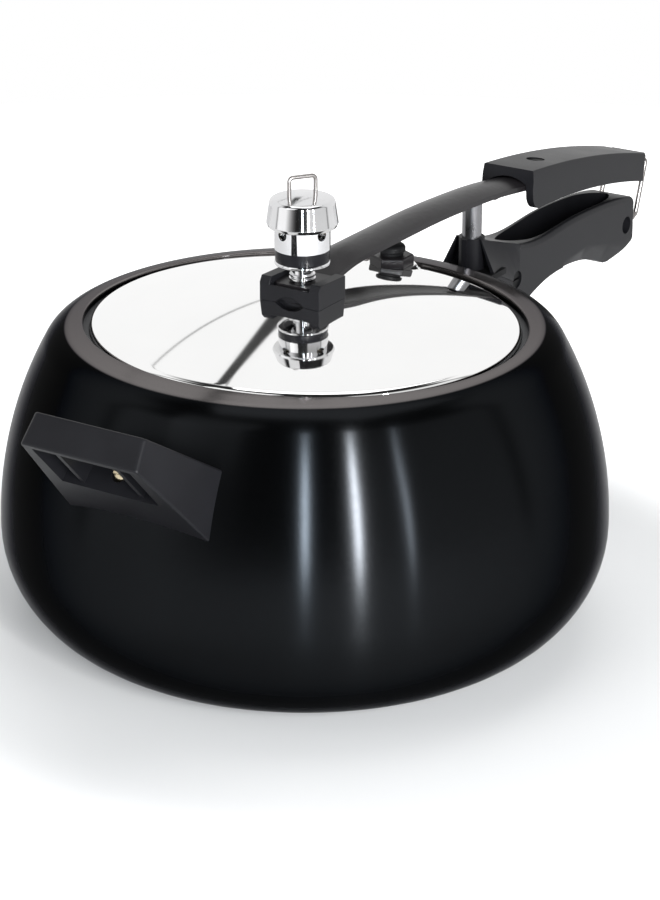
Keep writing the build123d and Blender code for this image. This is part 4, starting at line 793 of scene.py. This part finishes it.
class COOKER_OT_pot(bpy.types.Operator):
    """Spin the pot with its turned-in rim and oval mouth"""

    bl_idname = "cooker.pot"
    bl_label = "Pot"

    def execute(self, context):
        settings = context.scene.cooker_pot
        _, high, _ = place("pot_body")
        belly = high.x / MM
        count = settings.segments
        rim = settings.rim_height / MM
        underside = rim - RIM_EDGE
        inner_lean = math.asin((SHOULDER_HEIGHT - BASE_CORNER) / (FLANK_ARC - POT_WALL))
        inner_flank = belly - FLANK_ARC + (FLANK_ARC - POT_WALL) * math.cos(inner_lean)
        roof = inner_flank - (underside - SHOULDER_HEIGHT) / math.tan((math.pi / 2 - inner_lean) / 2)
        outside = pot_face(belly, 0.0, 0.0, (RIM_RADIUS, rim))
        inside = pot_face(belly, POT_WALL, POT_FLOOR, (roof, underside))
        # Quarter round of the rim's inner edge, as shares of its radius back from the mouth and down.
        edge = [(1 - math.cos(t), 1 - math.sin(t)) for t in (0.0, 0.4, 0.8, 1.2, math.pi / 2)]

        shape = bmesh.new()
        rings = []

        def ring(radius_at, height_at):
            """Ring of vertices at a radius for each turn and a height for each radius."""
            verts = []
            for i in range(count):
                turn = 2 * math.pi * i / count
                radius = radius_at(turn)
                spot = (radius * math.cos(turn) * MM, radius * math.sin(turn) * MM, height_at(radius) * MM)
                verts.append(shape.verts.new(spot))
            rings.append(verts)

        def mouth(turn, back):
            """Radius of the oval mouth at a turn, some way back from its edge."""
            x, y = MOUTH_X + back, MOUTH_Y + back
            return x * y / math.hypot(y * math.cos(turn), x * math.sin(turn))

        # Up the outside, over the sloping rim to the mouth, round its edge, and down the inside.
        rings.append([shape.verts.new((0, 0, 0))])
        for point in outside[1:]:
            ring(lambda turn, r=point.x: r, lambda radius, z=point.y: z)
        for share in RIM_SHARES:
            ring(
                lambda turn, k=share: RIM_RADIUS + k * (mouth(turn, RIM_EASE) - RIM_RADIUS),
                lambda radius: rim + RIM_SLOPE * (RIM_RADIUS - radius),
            )
        for back, down in reversed(edge):
            ring(
                lambda turn, b=back: mouth(turn, RIM_EASE * b),
                lambda radius, d=down: rim + RIM_SLOPE * (RIM_RADIUS - radius) - RIM_EASE * d,
            )
        for back, down in edge:
            ring(
                lambda turn, b=back: mouth(turn, RIM_UNDER_EASE * b),
                lambda radius, d=down: underside + RIM_UNDER_EASE * d,
            )
        for point in reversed(inside[1:]):
            ring(lambda turn, r=point.x: r, lambda radius, z=point.y: z)
        rings.append([shape.verts.new((0, 0, POT_FLOOR * MM))])
        join_rings(shape, rings, count)
        mesh = bpy.data.meshes.new("pot_skin")
        shape.to_mesh(mesh)
        shape.free()
        finish_piece(mesh, "pot_skin", "pot_body", FINISHES["anodised"], 50.0)
        return {"FINISHED"}


def press_pad(mesh, flange_top):
    """Presses the small flat pad that the safety valve stands on into the dome of the lid."""
    _, _, valve = place("safety_valve")
    pad = Vector((valve.x, valve.y))
    pad_height = VALVE_PAD * MM

    def away_from(vertex):
        """How far a vertex lies from the pad's centre in plan, in millimetres."""
        return (Vector(vertex.co[:2]) - pad).length / MM

    shape = bmesh.new()
    shape.from_mesh(mesh)
    close = [edge for edge in shape.edges if all(away_from(v) < PAD_CUT for v in edge.verts)]
    bmesh.ops.subdivide_edges(shape, edges=close, cuts=3, use_grid_fill=True)
    for vertex in shape.verts:
        away = away_from(vertex)
        if away > PAD_REACH or vertex.co.z < (flange_top + 0.5) * MM:
            continue
        share = min(max((away - PAD_RADIUS) / PAD_BLEND, 0.0), 1.0)
        share = share * share * (3 - 2 * share)
        is_top = vertex.normal.z > 0
        flat = pad_height if is_top else pad_height - LID_SHEET * MM
        vertex.co.z = flat + (vertex.co.z - flat) * share
    shape.to_mesh(mesh)
    shape.free()


class COOKER_OT_lid(bpy.types.Operator):
    """Spin the oval lid with its pressed valve pad, and its rubber ring"""

    bl_idname = "cooker.lid"
    bl_label = "Lid"

    def execute(self, context):
        settings = context.scene.cooker_lid
        low, high, _ = place("lid")
        half_x, half_y = high.x / MM, high.y / MM
        radius = (half_x + half_y) / 2
        oval = (half_x / radius, half_y / radius)
        flange_bottom = low.z / MM
        flange_top = flange_bottom + LID_SHEET
        crown = high.z / MM
        step = MOUTH_X / oval[0] - LID_GAP
        edge = (step - LID_BEAD, crown - LID_DROP)
        wall_top = edge[1] - LID_BEAD
        dome, heading = arc((0, crown), (1, 0), edge, DOME_STEPS)
        bead, _ = arc(edge, heading, (step, wall_top), BEAD_STEPS)
        inner_edge = (edge[0], edge[1] - LID_SHEET)
        under, heading = arc((0, crown - LID_SHEET), (1, 0), inner_edge, DOME_STEPS // 2)
        under_bead, _ = arc(under[-1], heading, (step - LID_SHEET, wall_top), UNDER_BEAD_STEPS)
        corners = [
            (step, wall_top, 0),
            (step, flange_top, 0.5),
            (radius, flange_top, 0.3),
            (radius, flange_bottom, 0.3),
            (step - LID_SHEET, flange_bottom, 0.8),
            (step - LID_SHEET, wall_top, 0),
        ]
        outline = [Vector((0, crown))] + dome + bead + eased(corners, steps=4)[1:-1]
        outline += list(reversed(under + under_bead)) + [Vector((0, crown - LID_SHEET))]
        mesh = lathe(outline, settings.segments, oval)
        press_pad(mesh, flange_top)
        finish_piece(mesh, "lid_skin", "lid", FINISHES["polished"], 40.0)

        low, high, _ = place("lid_gasket")
        outer = (high.x + high.y) / 2 / MM
        oval = (high.x / MM / outer, high.y / MM / outer)
        top, bottom = high.z / MM, low.z / MM
        inner = step + GASKET_GAP
        corners = [
            (inner, top - GASKET_LIP, 0),
            (inner, top, 0.3),
            (outer, top, 1.1),
            (outer, bottom, 1.1),
            (inner, bottom, 0.3),
            (inner, flange_bottom, 0),
            (radius, flange_bottom, 0),
            (radius, flange_top, 0),
            (inner, flange_top, 0),
        ]
        mesh = lathe(eased(corners, steps=5), settings.segments, oval)
        finish_piece(mesh, "gasket_skin", "lid_gasket", FINISHES["rubber"], 40.0)
        return {"FINISHED"}


def finish_turned(mesh, node, finish):
    """Small turned piece with crisp edges."""
    finish_piece(mesh, node + "_skin", node, FINISHES[finish], SHARP_ANGLE)


def ring_edge(wide, bottom, top):
    """Outer edge of the base ring, stepped in at its top and foot."""
    return [
        (wide - 0.3, top, 0.2),
        (wide, top - 0.5, 0.3),
        (wide, bottom + 0.4, 0.3),
        (wide - 0.5, bottom, 0.2),
    ]


def band_edge(wide, bottom, top):
    """Plain outer edge of the band."""
    return [(wide, top, 0.25), (wide, bottom, 0.25)]


def turn_ring(node, finish, edge):
    """Ring round the spigot, closed half-way up its bore."""
    bottom, top, wide, centre = turned_size(node)
    half_way = (top + bottom) / 2
    corners = [(REGULATOR_SPIGOT, half_way, 0), (REGULATOR_SPIGOT, top, 0.1)]
    corners += edge(wide, bottom, top)
    corners += [(REGULATOR_SPIGOT, bottom, 0.1), (REGULATOR_SPIGOT, half_way - 0.1, 0)]
    mesh = lathe(eased(corners, steps=5), SMALL_SEGMENTS, centre=centre)
    finish_turned(mesh, node, finish)


def turn_cap():
    """Hollow cap with a domed roof, rounded shoulder and wider foot."""
    bottom, top, wide, centre = turned_size("regulator_cap")
    shoulder = wide - CAP_SHOULDER
    ceiling = top - CAP_ROOF
    side_top = (shoulder, top - CAP_SIDE_TOP)
    inset, drop = CAP_TURN
    roof, heading = arc((0, top), (1, 0), (shoulder - inset, top - drop), ROOF_STEPS)
    turn, _ = arc(roof[-1], heading, side_top, BEAD_STEPS)
    corners = [
        (*side_top, 0),
        (wide, bottom + 1.4, 0.5),
        (wide - 0.6, bottom, 0.25),
        (CAP_BORE, bottom, 0.1),
        (CAP_BORE, bottom + CAP_COUNTERBORE, 0.1),
        (CAP_POCKET, bottom + CAP_COUNTERBORE, 0.1),
        (CAP_POCKET, ceiling, 0.2),
        (0, ceiling, 0),
    ]
    outline = [Vector((0, top))] + roof + turn + eased(corners, steps=5)[1:]
    mesh = lathe(outline, SMALL_SEGMENTS, centre=centre)
    finish_turned(mesh, "regulator_cap", "chrome")


def bend_lifting_loop():
    """Upright wire loop by which the regulator is lifted."""
    low, high, middle = place("lifting_loop")
    turn = math.radians(LOOP_TURN)
    across = LOOP_HALF * Vector((math.cos(turn), math.sin(turn)))
    centre = Vector(middle[:2]) / MM
    left, right = centre - across, centre + across
    foot = low.z / MM
    top = high.z / MM - LOOP_WIRE
    route = [(*left, foot), (*left, top), (*right, top), (*right, foot)]
    bent_wire("lifting_loop", route, LOOP_WIRE)


class COOKER_OT_regulator(bpy.types.Operator):
    """Turn the pressure regulator: base ring, band, weight and cap, and bend its wire loop"""

    bl_idname = "cooker.regulator"
    bl_label = "Regulator"

    def execute(self, context):
        turn_ring("regulator_ring", "chrome", ring_edge)
        turn_ring("regulator_band", "band", band_edge)
        softened("regulator_body", FINISHES["chrome"], 0.18)
        turn_cap()
        bend_lifting_loop()
        softened("steam_vent", FINISHES["chrome"], 0.12)
        return {"FINISHED"}


class COOKER_OT_mouldings(bpy.types.Operator):
    """Round the edges of the black mouldings and dress them"""

    bl_idname = "cooker.mouldings"
    bl_label = "Mouldings"

    def execute(self, context):
        rounding = {"body_handle": 0.8, "lid_handle": 0.7, "helper_handle": 0.6, "lid_saddle": 0.5}
        for node, width in rounding.items():
            softened(node, FINISHES["moulding"], width)
        return {"FINISHED"}


def bend_lock_loop():
    """Closed wire loop that locks the two handles, cranked a little on each side."""
    low, high, _ = place("lock_loop")
    half = high.y / MM - LOCK_WIRE
    pivot = (high.x / MM - LOCK_WIRE, high.z / MM - LOCK_WIRE)
    foot = (low.x / MM + LOCK_WIRE, low.z / MM + LOCK_WIRE)
    knee = (foot[0] + LOCK_KNEE[0], foot[1] + LOCK_KNEE[1])
    leg = [pivot, knee, foot]
    route = [(pivot[0], 0, pivot[1])]
    route += [(x, half, z) for x, z in leg]
    route += [(x, -half, z) for x, z in reversed(leg)]
    bent_wire("lock_loop", route, LOCK_WIRE, closed=True)


class COOKER_OT_fittings(bpy.types.Operator):
    """Dress bracket, post, screws, nuts and seals, and bend the lock loop"""

    bl_idname = "cooker.fittings"
    bl_label = "Fittings"

    def execute(self, context):
        softened("lid_bar", FINISHES["enamel"], 0.5)
        softened("safety_valve", FINISHES["enamel"], 0.25)
        softened("handle_bracket", FINISHES["blackened_and_hole_shade"], 0.3)
        softened("safety_plug", FINISHES["blackened_and_hole_shade"], 0.15)
        for finish, nodes in DRESSED.items():
            for node in nodes:
                dress(node, finish)
        bend_lock_loop()
        return {"FINISHED"}


def lay_floor(scene, settings):
    """Pale round floor that glows of its own away from the cooker, so that its edge can't be seen."""
    mesh = bpy.data.meshes.new("floor")
    disc = bmesh.new()
    bmesh.ops.create_circle(disc, cap_ends=True, segments=128, radius=settings.floor_radius)
    disc.to_mesh(mesh)
    disc.free()
    floor = bpy.data.objects.new("floor", mesh)
    floor.location.z = -FLOOR_DROP
    scene.collection.objects.link(floor)

    f = Finish("floor")
    grit = f.noise(scale=30.0, detail=2.0)
    f.set(base_color=f.blend(grit, shade(settings.floor, 0.98), settings.floor), roughness=0.9)
    x, y, _ = f.axes()
    x, y = x - SHADOW_MIDDLE[0], y - SHADOW_MIDDLE[1]
    away = f.ramp((x * x + y * y) ** 0.5, GLOW_START, GLOW_END)
    link = f.tree.links.new
    glow = f.tree.nodes.new("ShaderNodeEmission")
    link((away * (1 - settings.glow) + settings.glow).socket, glow.inputs["Strength"])
    glowing = f.tree.nodes.new("ShaderNodeAddShader")
    link(f.shader.outputs[0], glowing.inputs[0])
    link(glow.outputs[0], glowing.inputs[1])
    # The camera sees the glow, reflections show it weaker, and it lights nothing matt.
    camera_ray, shiny, _ = f.rays()
    mix = f.tree.nodes.new("ShaderNodeMixShader")
    link((camera_ray + shiny * GLOW_IN_METAL).clamp().socket, mix.inputs[0])
    link(f.shader.outputs[0], mix.inputs[1])
    link(glowing.outputs[0], mix.inputs[2])
    link(mix.outputs[0], f.output.inputs[0])
    mesh.materials.append(f.material)


def panelled_studio(settings):
    """World that is white to the camera, dim as light, and a white sweep and two panels in metal."""
    world = bpy.data.worlds.new("studio")
    f = Finish.sky(world)

    def along(direction):
        """How far the direction looked in goes along another."""
        inputs = {0: f.place(), 1: direction}
        return f.node("ShaderNodeVectorMath", {"operation": "DOT_PRODUCT"}, inputs, "Value")

    def larger(first, second):
        return f.node("ShaderNodeMath", {"operation": "MAXIMUM"}, {0: first, 1: second})

    front, side, up = along(AHEAD), along(RIGHT), along((0, 0, 1))
    sweep = f.ramp(front, -0.1, 0.12) * (1 - f.ramp(up, 0.74, 0.88))

    # Behind the camera: a panel at the right and a wider one at the left, dark between them.
    turned = side / larger(0 - front, LEAST_DEPTH)
    panels = f.ramp(turned, 0.26, 0.42) * RIGHT_PANEL + f.ramp(0 - turned, 0.3, 1.6) * LEFT_PANEL
    panels = panels * (1 - f.ramp(up, 0.5, 0.7)) * (1 - f.ramp(front, -0.12, 0.04))
    white = larger(sweep, panels)

    # Dark gaps between the sweep's own panels, which start some way up.
    depth = larger(front, LEAST_DEPTH)
    across, rise = side / depth, up / depth
    raised = f.ramp(rise, 0.3, 0.4)

    def open_gap(white, right, height, lean, bow, core, edge, dark):
        """White cut by a gap: its place at a height, its lean and bow, its width, and how dark it is."""
        drop = rise - height
        seam = abs(across - right + drop * lean + drop * drop * bow)
        return white * (1 - (1 - f.ramp(seam, core, edge)) * raised * dark)

    white = open_gap(white, -0.032, 0.461, lean=0.188, bow=0.203, core=0.009, edge=0.014, dark=0.97)
    white = open_gap(white, -0.004, 0.448, lean=0.312, bow=0.0, core=0.001, edge=0.005, dark=0.6)
    white = open_gap(white, -0.046, 0.362, lean=0.567, bow=0.0, core=0.0005, edge=0.005, dark=0.65)
    white = white * (1 - STUDIO_DARK) + STUDIO_DARK

    camera_ray, shiny, clear = f.rays()
    strength = camera_ray + shiny * white + clear
    strength = strength + (1 - (camera_ray + shiny + clear).clamp()) * settings.ambient
    sky = f.tree.nodes.new("ShaderNodeBackground")
    sky.inputs["Color"].default_value = (1, 1, 1, 1)
    f.tree.links.new(strength.socket, sky.inputs["Strength"])
    out = f.tree.nodes.new("ShaderNodeOutputWorld")
    f.tree.links.new(sky.outputs[0], out.inputs[0])
    return world


def stage_spot(right, ahead, up):
    """Place on the stage in metres: to the right and away as the camera looks, and up."""
    return right * RIGHT + ahead * AHEAD + Vector((0, 0, up))


def hang_lamps(scene, settings):
    """Large soft lamps at the left and overhead, and narrow strips in front that streak the pot."""

    def lamp(name, spot, width, tall, power, colour=(1, 1, 1), aim=LAMP_AIM):
        light = bpy.data.lights.new(name, "AREA")
        light.shape = "RECTANGLE"
        light.size, light.size_y = width, tall
        light.energy = power
        light.color = colour
        place_towards(scene, name, light, spot, aim)

    lamp("key", stage_spot(-0.9, -0.9, 1.3), KEY_SIZE, KEY_SIZE, settings.key)
    lamp("top", stage_spot(0.1, 0.3, 1.7), TOP_SIZE, TOP_SIZE, settings.top)
    for strip in STRIPS:
        turn = math.radians(strip["turn"])
        right, ahead = STRIP_DISTANCE * math.sin(turn), -STRIP_DISTANCE * math.cos(turn)
        spot = stage_spot(right, ahead, STRIP_HEIGHT)
        lamp(strip["name"], spot, strip["width"], STRIP_TALL, strip["power"], strip["colour"], STRIP_AIM)


def set_camera(scene, settings):
    """Camera in front of the cooker and a little above it."""
    lens = bpy.data.cameras.new("camera")
    lens.lens = settings.lens
    lens.sensor_width = SENSOR_WIDTH
    lens.shift_x, lens.shift_y = CAMERA_SHIFT
    scene.camera = place_towards(scene, "camera", lens, CAMERA_PLACE, CAMERA_TARGET)


def place_towards(scene, name, data, spot, aim):
    """Object for a lamp or camera at a spot, turned towards its aim."""
    made = bpy.data.objects.new(name, data)
    made.location = spot
    made.rotation_euler = (aim - made.location).to_track_quat("-Z", "Y").to_euler()
    scene.collection.objects.link(made)
    return made


class COOKER_OT_studio(bpy.types.Operator):
    """Lay the floor, light the cooker and set the camera"""

    bl_idname = "cooker.studio"
    bl_label = "Studio"

    def execute(self, context):
        settings = context.scene.cooker_studio
        lay_floor(context.scene, settings)
        context.scene.world = panelled_studio(settings)
        hang_lamps(context.scene, settings)
        set_camera(context.scene, settings)
        context.scene.view_settings.view_transform = "Standard"
        return {"FINISHED"}


class COOKER_PT_panel(bpy.types.Panel):
    """Lists the cooker's operators"""

    bl_idname = "COOKER_PT_panel"
    bl_label = "Pressure cooker"
    bl_space_type = "VIEW_3D"
    bl_region_type = "UI"
    bl_category = "Cooker"

    def draw(self, context):
        for operator in OPERATORS:
            self.layout.operator(operator.bl_idname)


SETTINGS = {
    "cooker_pot": PotSettings,
    "cooker_lid": LidSettings,
    "cooker_moulding": MouldingSettings,
    "cooker_metal": MetalSettings,
    "cooker_studio": StudioSettings,
}
OPERATORS = (
    COOKER_OT_finishes,
    COOKER_OT_pot,
    COOKER_OT_lid,
    COOKER_OT_regulator,
    COOKER_OT_mouldings,
    COOKER_OT_fittings,
    COOKER_OT_studio,
)


def register():
    for cls in (*SETTINGS.values(), *OPERATORS, COOKER_PT_panel):
        bpy.utils.register_class(cls)
    for name, cls in SETTINGS.items():
        setattr(bpy.types.Scene, name, PointerProperty(type=cls))


def unregister():
    for name in SETTINGS:
        delattr(bpy.types.Scene, name)
    for cls in reversed((*SETTINGS.values(), *OPERATORS, COOKER_PT_panel)):
        bpy.utils.unregister_class(cls)


def main():
    register()
    for operator in OPERATORS:
        group, name = operator.bl_idname.split(".")
        getattr(getattr(bpy.ops, group), name)()
    bpy.context.view_layer.update()


if __name__ == "__main__":
    main()
